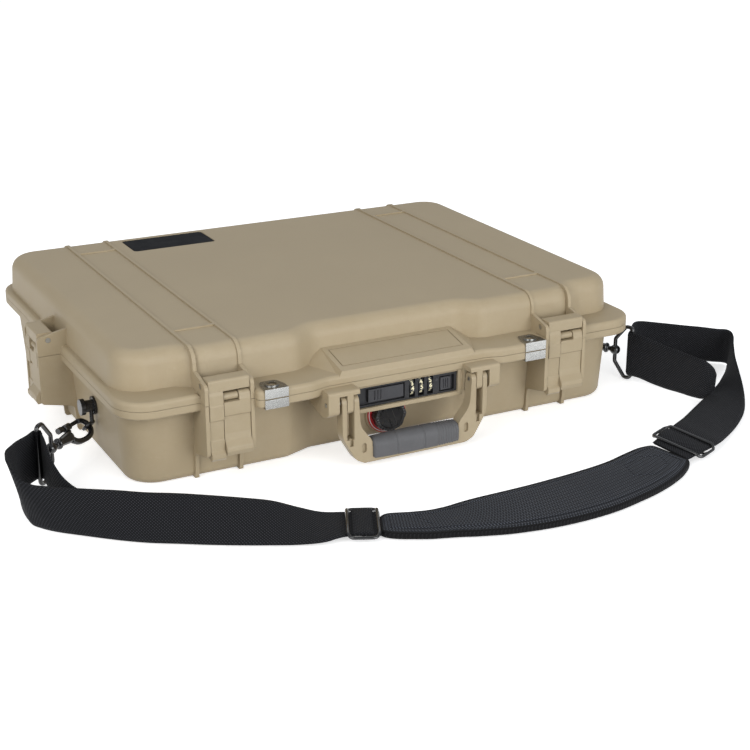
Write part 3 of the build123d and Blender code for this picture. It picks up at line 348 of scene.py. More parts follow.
def moulded_grain():
    """Fine pebbled skin of moulded plastic: cells and a softer noise, as a height and a mask of its hollows."""
    def build(g, given, out):
        fine = node(g, "ShaderNodeTexVoronoi", feature="SMOOTH_F1")
        feed(g, fine, Vector=given["Vector"], Scale=given["Scale"], Smoothness=0.6)
        soft = noise(g, given["Vector"], 900.0, 4.0, 0.6)
        height = maths(g, "ADD", times(g, fine.outputs["Distance"], -0.8), times(g, soft, 0.6))
        feed(g, out, Height=height, Mask=ramp(g, soft, 0.35, 0.65))
    return effect_group("Moulded grain", {"Vector": None, "Scale": 1500.0}, ("Height", "Mask"), build)


def handling_dust():
    """Dust and rubbing: broad noise times small noise, and thin scuffs from a noise stretched along one way."""
    def build(g, given, out):
        broad = noise(g, given["Vector"], 9.0, 5.0, 0.6)
        small = noise(g, given["Vector"], 70.0, 6.0, 0.7)
        lines = noise(g, mapped(g, given["Vector"], Scale=(0.25, 3.0, 1.0), Rotation=(0.3, 0.2, 0.55)), 160.0, 2.0, 0.5)
        feed(g, out, Dust=ramp(g, times(g, broad, small), 0.18, 0.42), Scuffs=ramp(g, lines, 0.70, 0.76))
    return effect_group("Handling dust", {"Vector": None}, ("Dust", "Scuffs"), build)


def twill_weave():
    """Twill: yarns across and along with a diagonal step, from the cloth's own metres, as a height and a yarn mask."""
    def build(g, given, out):
        split = feed(g, node(g, "ShaderNodeSeparateXYZ"), Vector=given["Vector"])
        u, v = (maths(g, "DIVIDE", split.outputs[k], given["Pitch"]) for k in (0, 1))
        diagonal = maths(g, "FRACT", maths(g, "ADD", times(g, u, given["Slant"]), times(g, v, 0.5)))
        off_crest = maths(g, "ABSOLUTE", maths(g, "SUBTRACT", times(g, diagonal, 2.0), 1.0))
        ridge = maths(g, "SUBTRACT", 1.0, off_crest)
        thread, cross = (maths(g, "ABSOLUTE", maths(g, "SINE", times(g, way, math.pi))) for way in (v, u))
        knots = times(g, thread, cross)
        feed(g, out, Height=maths(g, "ADD", times(g, ridge, 0.6), times(g, knots, 0.4)),
             Yarn=times(g, ramp(g, ridge, 0.35, 0.85), ramp(g, knots, 0.15, 0.75)))
    return effect_group("Twill weave", {"Vector": None, "Pitch": 0.0016, "Slant": 0.5}, ("Height", "Yarn"), build)


def new_material(name):
    material = bpy.data.materials.new(name)
    material.use_nodes = True
    tree = material.node_tree
    return material, tree, tree.nodes["Principled BSDF"]


def object_coords(tree):
    return node(tree, "ShaderNodeTexCoord").outputs["Object"]


def relief(tree, height, strength, distance, edge=0.0):
    """Normal of a fine relief, over edges that are softened by a small radius where one is given."""
    made = feed(tree, node(tree, "ShaderNodeBump"), Strength=strength, Distance=distance, Height=height)
    if edge:
        feed(tree, made, Normal=feed(tree, node(tree, "ShaderNodeBevel", samples=4), Radius=edge).outputs[0])
    return made.outputs[0]


def skinned_material(name, grain_scale):
    """The start that moulded finishes share: a material, its object coordinates, its grain and its dust."""
    material, tree, shader = new_material(name)
    where = object_coords(tree)
    skin = use_group(tree, moulded_grain(), Vector=where, Scale=grain_scale)
    return material, tree, shader, skin, use_group(tree, handling_dust(), Vector=where)


def moulded_plastic(name, tint, worn, rough=0.55, grain=0.25):
    """Matte moulded plastic with a pebbled skin whose hollows get a little painted shade, faint dust and a few pale
    scuffs.
    """
    material, tree, shader, skin, dust = skinned_material(name, 1300.0)
    # the grain's mask of hollows darkens the tint a little: painted shade in the grain's hollows
    shade = mixed(tree, times(tree, skin["Mask"], 0.10), tint, tone(tint, 0.86))
    for mask, share in (("Dust", 0.30), ("Scuffs", 0.18)):
        shade = mixed(tree, times(tree, dust[mask], share), shade, worn)
    feed(tree, shader, Base_Color=shade, Roughness=ramp(tree, dust["Dust"], 0.0, 1.0, rough - 0.06, rough + 0.08),
         Specular_IOR_Level=0.42, Normal=relief(tree, skin["Height"], grain, 0.0002, edge=0.0007))
    return material


def brushed_steel(name, tint, rough=0.32):
    """Steel sheet with fine lines across it, faint smears, and a painted reflection of a dark ceiling that darkens its
    upward faces.
    """
    material, tree, shader = new_material(name)
    where = object_coords(tree)
    streaks = noise(tree, mapped(tree, where, Scale=(1.0, 60.0, 60.0)), 120.0, 3.0, 0.6)
    smears = noise(tree, where, 60.0, 4.0, 0.6)
    facing_for_painted_reflection = feed(tree, node(tree, "ShaderNodeSeparateXYZ"), Vector=node(tree, "ShaderNodeTexCoord").outputs["Normal"])
    sheet = mixed(tree, times(tree, smears, 0.35), tint, tone(tint, 0.72))
    sheet = mixed(tree, ramp(tree, streaks, 0.42, 0.62, 0.0, 0.55), sheet, tone(tint, 0.45))
    # upward faces mixed towards a darker tone: painted reflection of a dark ceiling
    feed(tree, shader, Base_Color=mixed(tree, ramp(tree, facing_for_painted_reflection.outputs[2], 0.5, 0.9), sheet, tone(tint, 0.30)),
         Metallic=1.0, Roughness=ramp(tree, streaks, 0.3, 0.7, rough - 0.08, rough + 0.10),
         Normal=relief(tree, streaks, 0.08, 0.0001, edge=0.0003))
    return material


def satin_black(name, tint, rough=0.38, grain=0.10, shine=0.4):
    """Hard black plastic or enamel, with a very fine skin and patches of dust."""
    material, tree, shader, skin, dust = skinned_material(name, 2200.0)
    feed(tree, shader, Base_Color=mixed(tree, times(tree, dust["Dust"], 0.35), tint, tone(tint, 2.2, 0.012)),
         Roughness=ramp(tree, dust["Dust"], 0.0, 1.0, rough - 0.05, rough + 0.12), Specular_IOR_Level=shine,
         Normal=relief(tree, skin["Height"], grain, 0.0001, edge=0.0003))
    return material


def matte_rubber(name, tint, worn, rough=0.62):
    """Dense rubber: a soft sheen, a fine skin and paler rubbed patches."""
    material, tree, shader, skin, dust = skinned_material(name, 1900.0)
    feed(tree, shader, Base_Color=mixed(tree, times(tree, dust["Dust"], 0.5), tint, worn),
         Roughness=ramp(tree, skin["Mask"], 0.0, 1.0, rough - 0.08, rough + 0.06),
         Normal=relief(tree, skin["Height"], 0.2, 0.0001))
    return material


def open_foam(name, tint):
    """Open-cell foam: round pits of mixed size, with painted shade inside them."""
    material, tree, shader = new_material(name)
    cells = feed(tree, node(tree, "ShaderNodeTexVoronoi", feature="F1"), Vector=object_coords(tree), Scale=650.0)
    pits = ramp(tree, cells.outputs["Distance"], 0.1, 0.6)
    # the pits' middles take a darker tone: painted shade in the pits
    feed(tree, shader, Base_Color=mixed(tree, pits, tone(tint, 0.45), tint), Roughness=0.95,
         Specular_IOR_Level=0.15, Normal=relief(tree, pits, 0.6, 0.0006))
    return material


def woven_cloth(name, tint, pitch, slant, strength, lift=2.0):
    """Woven cloth read from the piece's own UV in metres: yarn ridges, a painted highlight on the yarn crowns with
    painted shade between them, uneven dye and a little lint.
    """
    material, tree, shader = new_material(name)
    cloth = node(tree, "ShaderNodeUVMap", uv_map="UVMap").outputs[0]
    where = object_coords(tree)
    weave = use_group(tree, twill_weave(), Vector=cloth, Pitch=pitch, Slant=slant)
    dye = ramp(tree, noise(tree, where, 14.0, 4.0, 0.6), 0.35, 0.7, 0.0, 0.35)
    lint = ramp(tree, noise(tree, where, 700.0, 2.0, 0.5), 0.74, 0.80)
    # the yarn mask blends from a darker tone between the yarns to lift times the tint on their crowns: painted shade
    # and painted highlight
    shade = mixed(tree, weave["Yarn"], tone(tint, 0.55), tone(tint, lift))
    shade = mixed(tree, dye, shade, tint)
    shade = mixed(tree, times(tree, lint, 0.25), shade, tone(tint, 3, 0.05))
    feed(tree, shader, Base_Color=shade, Roughness=ramp(tree, weave["Height"], 0.0, 1.0, 0.85, 0.62),
         Specular_IOR_Level=0.12, Sheen_Weight=0.03, Sheen_Roughness=0.5,
         Normal=relief(tree, weave["Height"], strength, 0.0005))
    return material


def gloss_black(name, tint, rough=0.16):
    """Glossy black enamel on cast hardware, with fine scratches and finger marks in its gloss."""
    material, tree, shader = new_material(name)
    where = object_coords(tree)
    dust = use_group(tree, handling_dust(), Vector=where)
    feed(tree, shader, Base_Color=mixed(tree, times(tree, dust["Scuffs"], 0.3), tint, (0.10, 0.10, 0.10)),
         Roughness=ramp(tree, dust["Dust"], 0.0, 1.0, rough, rough + 0.16), Coat_Weight=0.6, Coat_Roughness=0.08,
         Normal=relief(tree, noise(tree, where, 420.0, 3.0, 0.5), 0.05, 0.0002))
    return material


def finish_nodes(material, *starts):
    """Gives CAD nodes their finish by the start of their names, leaving their meshes alone."""
    found = [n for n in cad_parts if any(n == s or n.startswith(s + "_") for s in starts)]
    if not found:
        raise RuntimeError("no node starts with any of " + ", ".join(starts))
    for name in found:
        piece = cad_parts[name]
        if not piece.material_slots:
            piece.data.materials.append(material)
        for slot in piece.material_slots:
            slot.material = material


def shared(name, make, *values, **settings):
    """A material made once and then reused by name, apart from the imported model's own materials."""
    name = "finish_" + name
    return bpy.data.materials.get(name) or make(name, *values, **settings)


# ---------------------------------------------------------------- camera and stage
# azimuth, elevation and roll in degrees, place in metres, focal length in millimetres
CAMERA_ANGLES = (-27.2610, 20.4420, -0.1185)
CAMERA_PLACE = (-0.60773, -1.33340, 0.54772)
CAMERA_LENS = 72.711
# name, place, aim, size, power, colour
LAMPS = (
    ("lamp_key", (-2.3, -1.5, 1.5), (0.0, 0.0, 0.05), 1.8, 32.0, (1.0, 0.985, 0.96)),
    ("lamp_top", (0.4, 1.3, 2.4), (0.0, 0.0, 0.05), 2.2, 9.0, (1.0, 1.0, 1.0)),
    ("lamp_front", (0.5, -2.5, 0.7), (0.0, -0.1, 0.03), 1.8, 36.0, (0.98, 0.99, 1.0)),
)
FLOOR_REACH = 20.0
FLOOR_LEVEL = -0.0002


class HARDCASE_OT_camera(bpy.types.Operator):
    """Places the camera at the viewing angle in front of the case, low on its left."""
    bl_idname = "hardcase.camera"
    bl_label = "Camera"

    def execute(self, context):
        azimuth, elevation, roll = (math.radians(angle) for angle in CAMERA_ANGLES)
        flat = math.cos(elevation)
        back = Vector((math.sin(azimuth) * flat, -math.cos(azimuth) * flat, math.sin(elevation)))
        right = (-back).cross(Vector((0, 0, 1))).normalized()
        up = right.cross(-back)
        turned_right = right * math.cos(roll) + up * math.sin(roll)
        turned_up = up * math.cos(roll) - right * math.sin(roll)
        lens = bpy.data.cameras.new("camera")
        lens.lens = CAMERA_LENS
        lens.sensor_width = 36.0
        lens.clip_end = 60.0
        camera = add_object("camera", lens)
        turn = Matrix((turned_right, turned_up, back)).transposed().to_4x4()
        camera.matrix_world = Matrix.Translation(CAMERA_PLACE) @ turn
        context.scene.camera = camera
        return {"FINISHED"}


def blend_for(tree, out, second_ray, plain, seen):
    """Shows one shader to camera rays and to a second kind of ray, and the plain one to all others."""
    rays = node(tree, "ShaderNodeLightPath")
    blend = node(tree, "ShaderNodeMixShader")
    factor = maths(tree, "MAXIMUM", rays.outputs["Is Camera Ray"], rays.outputs[second_ray])
    for target, value in zip(blend.inputs, (factor, plain.outputs[0], seen.outputs[0])):
        plug(tree, target, value)
    feed(tree, out, Surface=blend.outputs[0])


class HARDCASE_OT_stage(bpy.types.Operator):
    """Lays a plain pale floor and hangs soft studio lamps; the camera sees the floor and the sky as white."""
    bl_idname = "hardcase.stage"
    bl_label = "Stage"

    def execute(self, context):
        scene = context.scene
        scene.view_settings.view_transform = "Standard"
        world = bpy.data.worlds.new("studio")
        scene.world = world
        world.use_nodes = True
        tree = world.node_tree
        tree.nodes.clear()
        lit = feed(tree, node(tree, "ShaderNodeBackground"), Color=(0.93, 0.96, 1.0), Strength=0.46)
        white = feed(tree, node(tree, "ShaderNodeBackground"), Color=(1, 1, 1), Strength=1.0)
        blend_for(tree, node(tree, "ShaderNodeOutputWorld"), "Is Transmission Ray", lit, white)

        material, tree, shader = new_material("studio_floor")
        feed(tree, shader, Base_Color=(0.80, 0.80, 0.80), Roughness=0.9, Specular_IOR_Level=0.1)
        shadow = feed(tree, node(tree, "ShaderNodeBsdfDiffuse"), Color=(1, 1, 1))
        glow = feed(tree, node(tree, "ShaderNodeEmission"), Strength=0.55)
        lifted = node(tree, "ShaderNodeAddShader")
        plug(tree, lifted.inputs[0], shadow.outputs[0])
        plug(tree, lifted.inputs[1], glow.outputs[0])
        blend_for(tree, tree.nodes["Material Output"], "Is Glossy Ray", shader, lifted)
        mesh = bpy.data.meshes.new("studio_floor")
        corners = [(x * FLOOR_REACH, y * FLOOR_REACH, FLOOR_LEVEL) for x, y in ((-1, -1), (1, -1), (1, 1), (-1, 1))]
        mesh.from_pydata(corners, [], [(0, 1, 2, 3)])
        mesh.materials.append(material)
        floor = add_object("studio_floor", mesh)

        for name, place, aim, size, power, tint in LAMPS:
            data = bpy.data.lights.new(name, "AREA")
            data.shape = "DISK"
            data.size = size
            data.energy = power
            data.color = tint
            lamp = add_object(name, data)
            lamp.location = place
            lamp.rotation_euler = (Vector(aim) - Vector(place)).to_track_quat("-Z", "Y").to_euler()
        return {"FINISHED"}


# ---------------------------------------------------------------- moulded parts
class HARDCASE_OT_shells(bpy.types.Operator):
    """Gives the base, lid, latches and handle frame their moulded skin."""
    bl_idname = "hardcase.shells"
    bl_label = "Shells and latches"

    def execute(self, context):
        tones = context.scene.hardcase_colours
        finish_nodes(shared("moulded_shell", moulded_plastic, tones.shell, tones.shell_worn), "base_shell", "lid_shell")
        parts = shared("moulded_parts", moulded_plastic, tone(tones.shell, 0.97), tones.shell_worn, rough=0.48,
                       grain=0.12)
        finish_nodes(parts, "latch_jaw", "latch_lever", "handle_frame")
        return {"FINISHED"}


class HARDCASE_OT_inside(bpy.types.Operator):
    """Gives the foam and the lid seal their finish."""
    bl_idname = "hardcase.inside"
    bl_label = "Foam and seal"

    def execute(self, context):
        finish_nodes(shared("open_foam", open_foam, context.scene.hardcase_colours.foam), "base_foam", "lid_foam")
        finish_nodes(shared("seal_rubber", matte_rubber, (0.012, 0.012, 0.012), (0.03, 0.03, 0.03)), "lid_seal")
        return {"FINISHED"}


class HARDCASE_OT_steelwork(bpy.types.Operator):
    """Gives the padlock plates, pins and strike plate their steel."""
    bl_idname = "hardcase.steelwork"
    bl_label = "Steel parts"

    def execute(self, context):
        steel = context.scene.hardcase_colours.steel
        finish_nodes(shared("plate_steel", brushed_steel, steel, rough=0.26), "hasp_base", "hasp_lid", "lock_strike")
        finish_nodes(shared("pin_steel", brushed_steel, tone(steel, 0.8), rough=0.36), "handle_pins", "dial_axle",
                     "hinge_pins", "latch_pins", "lever_pin")
        return {"FINISHED"}


def rounded_plate(name, centre, width, depth, z_low, z_high, corner, bevel, material):
    """Flat plate: rounded rectangle rings, from the middle out over a small round bevel and down its side."""
    count = 64
    angle = full_turn(count) + math.pi / count

    def ring(inset, level):
        r = max(corner - inset, 1e-5)
        hx, hy = width / 2 - inset - r, depth / 2 - inset - r
        x = centre[0] + np.sign(np.cos(angle)) * hx + r * np.cos(angle)
        y = centre[1] + np.sign(np.sin(angle)) * hy + r * np.sin(angle)
        return np.column_stack([x, y, np.full(count, level)])

    rows = [ring(bevel * (1 - math.sin(t)), z_high - bevel * (1 - math.cos(t))) for t in np.linspace(0, math.pi / 2, 5)]
    rows.append(ring(0.0, z_low))
    return closed_piece(name, np.array(rows), material, smooth=False)


# middle of the badge's recess in plan and level of the recess's floor, in metres
BADGE_CENTRE = (-0.090, 0.149)
BADGE_FLOOR = 0.120 - 0.0008


class HARDCASE_OT_badge(bpy.types.Operator):
    """Sets a bare dark plate with a fine bevel into the recess at the back of the lid."""
    bl_idname = "hardcase.badge"
    bl_label = "Bare badge"

    def execute(self, context):
        sizes = context.scene.hardcase_details
        tint = context.scene.hardcase_colours.badge
        dark = shared("badge_plate", satin_black, tint, rough=0.55, grain=0.05, shine=0.08)
        plate = rounded_plate("badge_plate", BADGE_CENTRE, sizes.badge_width, sizes.badge_depth, BADGE_FLOOR,
                              BADGE_FLOOR + 0.0007, corner=0.0036, bevel=0.0003, material=dark)
        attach(plate, "lid")
        return {"FINISHED"}


# ---------------------------------------------------------------- lock and valve
FIGURES = 10


def figure_mesh(figure, height):
    """One figure as a thin mesh, flat in the plane of X and Y and centred on the origin."""
    text = bpy.data.curves.new("figure", "FONT")
    text.body = str(figure)
    text.size = height * 1.35
    text.offset = height * 0.035
    text.align_x, text.align_y = "CENTER", "CENTER"
    text.extrude = 0.00006
    text.resolution_u = 3
    carrier = add_object("figure", text)
    bpy.context.view_layer.update()
    mesh = bpy.data.meshes.new_from_object(carrier.evaluated_get(bpy.context.evaluated_depsgraph_get()))
    bpy.data.objects.remove(carrier)
    return mesh


class HARDCASE_OT_lock(bpy.types.Operator):
    """Gives the lock its black finish and builds its three number wheels, with pale figures on their flats."""
    bl_idname = "hardcase.lock"
    bl_label = "Combination lock"

    def execute(self, context):
        tones = context.scene.hardcase_colours
        sizes = context.scene.hardcase_details
        black = shared("lock_black", satin_black, tones.lock, rough=0.40)
        finish_nodes(black, "lock_housing")
        finish_nodes(shared("slide_black", satin_black, tone(tones.lock, 2.2), rough=0.46, grain=0.2),
                     "lock_slide", "lock_button", "reset_button")
        pale, tree, shader = new_material("dial_figures")
        worn = ramp(tree, noise(tree, object_coords(tree), 900.0, 3.0, 0.6), 0.55, 0.75, 0.0, 0.5)
        feed(tree, shader, Base_Color=mixed(tree, worn, tones.digits, (0.45, 0.43, 0.33)), Roughness=0.5)
        for index in range(3):
            low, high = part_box("lock_dial_%d" % (index + 1))
            middle = (low + high) / 2
            radius = (high.y - low.y) / 2 * math.cos(math.pi / FIGURES)
            wheel = number_wheel("number_wheel_%d" % (index + 1), middle, radius, high.x - low.x, black)
            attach(wheel, "dial_%d" % (index + 1))
            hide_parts("lock_dial_%d" % (index + 1))
            outward = Matrix.Translation((0, -radius - 0.00003, 0)) @ Matrix.Rotation(math.pi / 2, 4, "X")
            meshes = []
            for figure in range(FIGURES):
                mesh = figure_mesh(figure, sizes.digit_height)
                # the wheels show 4, 5 and 6 in front
                turn = Matrix.Rotation(math.radians(36.0 * (figure - 4 - index)), 4, "X")
                mesh.transform(Matrix.Translation(middle) @ turn @ outward)
                meshes.append(mesh)
            ring = joined("dial_figures_%d" % (index + 1), meshes, pale)
            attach(ring, "dial_%d" % (index + 1))
        return {"FINISHED"}


def number_wheel(name, middle, flat, width, material):
    """Ten-sided wheel on an axle along X: its radius is the flat's distance over the cosine of the angle from the
    middle of the flat, with a low ridge at each corner, and its two rims are rounded over."""
    angle = full_turn(240)
    side = 2 * math.pi / FIGURES
    off = (angle + side / 2) % side - side / 2
    r = flat / np.cos(off) + 0.0003 * bell(np.abs(off) - side / 2, 0.035)
    across = np.array([-0.5, -0.5, -0.47, -0.42, 0.42, 0.47, 0.5, 0.5]) * width
    inset = np.array([0.005, 0.0005, 0.0001, 0.0, 0.0, 0.0001, 0.0005, 0.005])
    shape = r[None, :] - inset[:, None]
    points = grid(middle.x + across[:, None], middle.y - shape * np.cos(angle), middle.z + shape * np.sin(angle))
    return closed_piece(name, points, material, smooth=False)


def joined(name, meshes, material):
    """One object holding all the given meshes."""
    verts, faces, start = [], [], 0
    for mesh in meshes:
        co = np.zeros(len(mesh.vertices) * 3)
        mesh.vertices.foreach_get("co", co)
        verts.append(co.reshape(-1, 3))
        faces += [[start + v for v in p.vertices] for p in mesh.polygons]
        start += len(mesh.vertices)
        bpy.data.meshes.remove(mesh)
    whole = bpy.data.meshes.new(name)
    whole.from_pydata(np.concatenate(verts).tolist(), [], faces)
    whole.materials.append(material)
    whole.update()
    return add_object(name, whole)


def wave(count, angle):
    """From zero to one and back, count times round the circle."""
    return 0.5 - 0.5 * np.cos(count * angle)


def lobed_knob(name, low, high, material):
    """Knob that faces -Y: rings from the middle of its face over the rim to its back, pulled in between eight
    lobes, with 32 fine flutes round the rim and a bar across the face for the fingers."""
    lobe_count, flute_count, bar_turn = 8, 32, 0.35
    middle = (low + high) / 2
    radius, depth = (high.x - low.x) / 2 * 0.96, high.y - low.y
    share = np.concatenate([np.linspace(0, 0.94, 40), [0.97, 0.99, 1.0, 1.0, 1.0, 0.97, 0.93, 0.93]])
    back = np.concatenate([np.full(40, 0.0), [0.0003, 0.0008, 0.0016, 0.0060, 0.0100, 0.0112, 0.0116, depth]])
    angle = full_turn(256)
    rim = np.clip((share - 0.70) / 0.24, 0, 1) * (back < depth - 1e-6)
    lobes = 0.055 * wave(lobe_count, angle) + 0.014 * wave(flute_count, angle)
    r = radius * share[:, None] * (1 - rim[:, None] * lobes[None, :])
    x, z = r * np.cos(angle), r * np.sin(angle)
    across = np.abs(x * math.cos(bar_turn) + z * math.sin(bar_turn))
    bar = np.clip((0.0034 - across) / 0.0010, 0, 1) * np.clip((0.0118 - r) / 0.0012, 0, 1)
    raised = np.clip((share[:, None] - 0.74) / 0.05, 0, 1) * (1 - 0.35 * wave(flute_count, angle))
    sunk = 0.0014 * (1 - np.maximum(bar, raised)) * (share[:, None] < 0.95) * (back[:, None] < 1e-6)
    points = np.stack([middle.x + x, low.y + back[:, None] + sunk, middle.z + z], axis=-1)
    return closed_piece(name, points, material)


class HARDCASE_OT_valve(bpy.types.Operator):
    """Replaces the plain valve knob with a lobed and fluted one, and gives its red ring a pale band."""
    bl_idname = "hardcase.valve"
    bl_label = "Pressure valve"

    def execute(self, context):
        tones = context.scene.hardcase_colours
        black = shared("valve_black", satin_black, tones.valve, rough=0.26, grain=0.12)
        knob = lobed_knob("valve_cap", *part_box("valve_knob"), black)
        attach(knob, "valve")
        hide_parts("valve_knob")
        low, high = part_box("valve_ring")
        middle = (low + high) / 2
        red, tree, shader = new_material("valve_ring_red")
        where = mapped(tree, object_coords(tree), Location=(-middle.x, 0, -middle.z), Scale=(1, 0, 1))
        away = node(tree, "ShaderNodeVectorMath", operation="LENGTH")
        plug(tree, away.inputs[0], where)
        share = maths(tree, "DIVIDE", away.outputs["Value"], (high.z - low.z) / 2)
        band = times(tree, ramp(tree, share, 0.915, 0.925), ramp(tree, share, 0.965, 0.955))
        feed(tree, shader, Base_Color=mixed(tree, band, tones.ring, tones.ring_mark), Roughness=0.35)
        finish_nodes(red, "valve_ring")
        return {"FINISHED"}


# ---------------------------------------------------------------- handle grip
# metres from the grip's middle to its moulded seams; pitch of its ribs and their distance from the right end
GRIP_SEAMS = (-0.020, 0.0075)
RIB_PITCH = 0.0027
RIB_START = 0.0015


class HARDCASE_OT_grip(bpy.types.Operator):
    """Replaces the plain sleeve with a soft rubber grip with moulded seams and fine ribs near its right end."""
    bl_idname = "hardcase.grip"
    bl_label = "Handle grip"

    def execute(self, context):
        grip_tone = context.scene.hardcase_colours.grip
        ribs = context.scene.hardcase_details.grip_ribs
        low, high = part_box("handle_grip")
        rubber = shared("grip_rubber", matte_rubber, grip_tone, tone(grip_tone, 1.5))
        half, deep, tall = (high.x - low.x) / 2, (high.y - low.y) / 2, high.z - low.z
        # section: square below with small corners, round over the top
        angle = np.linspace(-0.5 * math.pi, 1.5 * math.pi, 96, endpoint=False)
        top_corner, bottom_corner = 0.0076, 0.0022
        over = np.sin(angle) > 0
        radius = np.where(over, top_corner, bottom_corner)
        ry = np.sign(np.cos(angle)) * (deep - radius) + radius * np.cos(angle)
        rz = np.where(over, tall - radius, radius) + radius * np.sin(angle)
        # ribs: shallow rounded rings; seams: narrow grooves; ends: rounded in; a fuller middle
        x = np.linspace(-half, half, 420)[:, None]
        from_right = half - x - RIB_START
        rib_zone = (from_right > 0) & (from_right < ribs * RIB_PITCH)
        depth = np.where(rib_zone, 0.00026 * (1 - np.cos(2 * math.pi * from_right / RIB_PITCH)), 0.0)
        for seam in GRIP_SEAMS:
            depth += 0.0006 * bell(x - seam, 0.0006)
        from_end = np.clip(1 - (half - np.abs(x)) / 0.0022, 0, 1)
        depth += 0.0008 * (np.abs(x) / half) ** 2.5 - 0.0009 + 0.0016 * from_end ** 2
        points = grid(x, (high.y + low.y) / 2 + ry - np.cos(angle) * depth, low.z + rz - np.sin(angle) * depth)
        grip = closed_piece("grip_sleeve", points, rubber)
        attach(grip, "handle")
        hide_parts("handle_grip")
        return {"FINISHED"}


# ---------------------------------------------------------------- strap
# side of the case and heading of its hook in plan in degrees, and the root of the right hook's eye in millimetres
SIDES = {"left": (-1, 218.8), "right": (1, 294.8)}
HOOK_ROOT = (258.5, -92.0, 29.0)
# distance of the ring's bar along the hook, and radius at which the webbing goes round it, in millimetres
RING_BAR = 76
WRAP_RADIUS = 3.9


def round_ring_bar(side, heading, start, end, count):
    """Edges where the webbing turns upright round the bar of a ring, in millimetres."""
    x = side * HOOK_ROOT[0] + RING_BAR * math.cos(math.radians(heading))
    y = HOOK_ROOT[1] + RING_BAR * math.sin(math.radians(heading))
    turn = [(x + WRAP_RADIUS * math.cos(a), y + WRAP_RADIUS * math.sin(a))
            for a in np.radians(np.linspace(start, end, count))]
    return [(u, v, 6.0, u, v, 52.0) for u, v in turn]


# stitched lines on the pad in plan, in millimetres: an open seam and a closed patch
LEFT_SEAM = [(-66.0, -352.0), (-62.0, -372.0)]
RIGHT_PATCH = [(139.0, -371.0), (146.0, -350.0), (168.0, -340.0), (186.0, -347.0), (180.0, -366.0), (160.0, -378.0)]


def resampled_loop(line, step):
    """A closed line sampled again at even steps, then evened out with its neighbours, in three dimensions."""
    closed = np.vstack([line, line[:1]])
    along = run_lengths(closed)
    at = np.linspace(0, along[-1], int(along[-1] / step), endpoint=False)
    loop = np.stack([np.interp(at, along, closed[:, k]) for k in range(3)], axis=1)
    for _ in range(3):
        loop = (np.roll(loop, 1, axis=0) + 2 * loop + np.roll(loop, -1, axis=0)) / 4
    return loop


# each row: the two edges of the strip, (x, y, z) then (x, y, z), in millimetres
LEFT_EDGES = (
    [(-297.5, -250.0, 1.5, -306.5, -214.0, 27.0), (-305.0, -238.0, 1.5, -309.8, -208.0, 29.0),
     (-311.0, -222.0, 2.0, -314.0, -198.0, 33.5), (-315.5, -198.0, 3.5, -317.5, -184.0, 42.0),
     (-317.0, -176.0, 5.0, -317.5, -170.0, 49.0), (-316.0, -158.0, 6.0, -316.0, -156.0, 52.0)]
    + round_ring_bar(*SIDES["left"], -25.0, 130.0, 8)
    + [(-328.0, -143.5, 6, -328.0, -144.5, 52), (-337.0, -154.0, 5, -338.5, -154.5, 53),
       (-343.5, -176.0, 3.5, -347.5, -168.0, 55), (-345.8, -200.0, 1.8, -354.5, -180.0, 56.5),
       (-344.8, -213.4, 1.5, -357.1, -189.4, 55.5), (-341.0, -221.0, 1.5, -355.0, -197.0, 48.0),
       (-336.0, -228.5, 1.5, -350.5, -203.5, 41.0), (-329.2, -236.5, 1.5, -342.5, -209.2, 36.0),
       (-317.6, -247.6, 1.5, -324.6, -214.7, 32.4), (-303.5, -260.9, 1.5, -303.8, -225.9, 30.8),
       (-287.4, -275.3, 1.5, -281.2, -240.3, 30.5), (-270.9, -287.9, 1.5, -261.4, -253.4, 29.8),
       (-250.3, -300.6, 1.5, -237.9, -266.6, 29.3), (-229.8, -313.3, 1.5, -215.1, -278.8, 27.7),
       (-209.0, -325.1, 1.5, -191.0, -290.2, 25.0), (-187.9, -336.1, 1.5, -169.4, -299.2, 21.4),
       (-166.8, -347.1, 2.0, -148.9, -306.8, 14.2), (-149.2, -355.0, 3.5, -132.0, -313.0, 9.0),
       (-131.3, -357.1, 5.2, -112.1, -315.3, 5.4), (-104.9, -369.1, 5.2, -85.7, -327.3, 5.2)]
)
PAD_EDGES = [
    (-101.1, -362.2, 4, -91.5, -341.3, 4), (-97.3, -367.6, 4, -85.0, -337.5, 4), (-90.5, -372.8, 4, -77.0, -339.5, 4),
    (-79.9, -378.4, 4, -66.5, -343.5, 4), (-69.2, -383.9, 4, -57.5, -346.2, 4), (-57.7, -387.9, 4, -48.5, -348.2, 4),
    (-46.1, -391.9, 4, -40.0, -348.6, 4), (-35.0, -396.7, 4, -31.0, -348.4, 4), (-23.4, -400.8, 4, -21.5, -347.0, 4),
    (-11.7, -404.8, 4, -11.5, -346.0, 4), (0.6, -407.8, 4, 0.0, -345.4, 4), (26.6, -412.1, 4, 24.0, -345.1, 4),
    (54.9, -413.7, 4, 50.5, -344.4, 4), (86.1, -412.0, 4, 79.0, -342.5, 4), (103.4, -409.1, 4, 94.5, -341.2, 4),
    (122.2, -404.5, 4, 111.0, -339.3, 4), (141.9, -399.1, 4, 127.5, -337.0, 4), (161.2, -391.9, 4, 144.0, -333.5, 4),
    (176.0, -385.0, 4, 158.0, -329.0, 4), (187.5, -378.3, 4, 171.0, -325.2, 4), (197.0, -371.0, 4, 183.0, -322.3, 4),
    (204.5, -363.5, 4, 196.0, -322.5, 4),
]
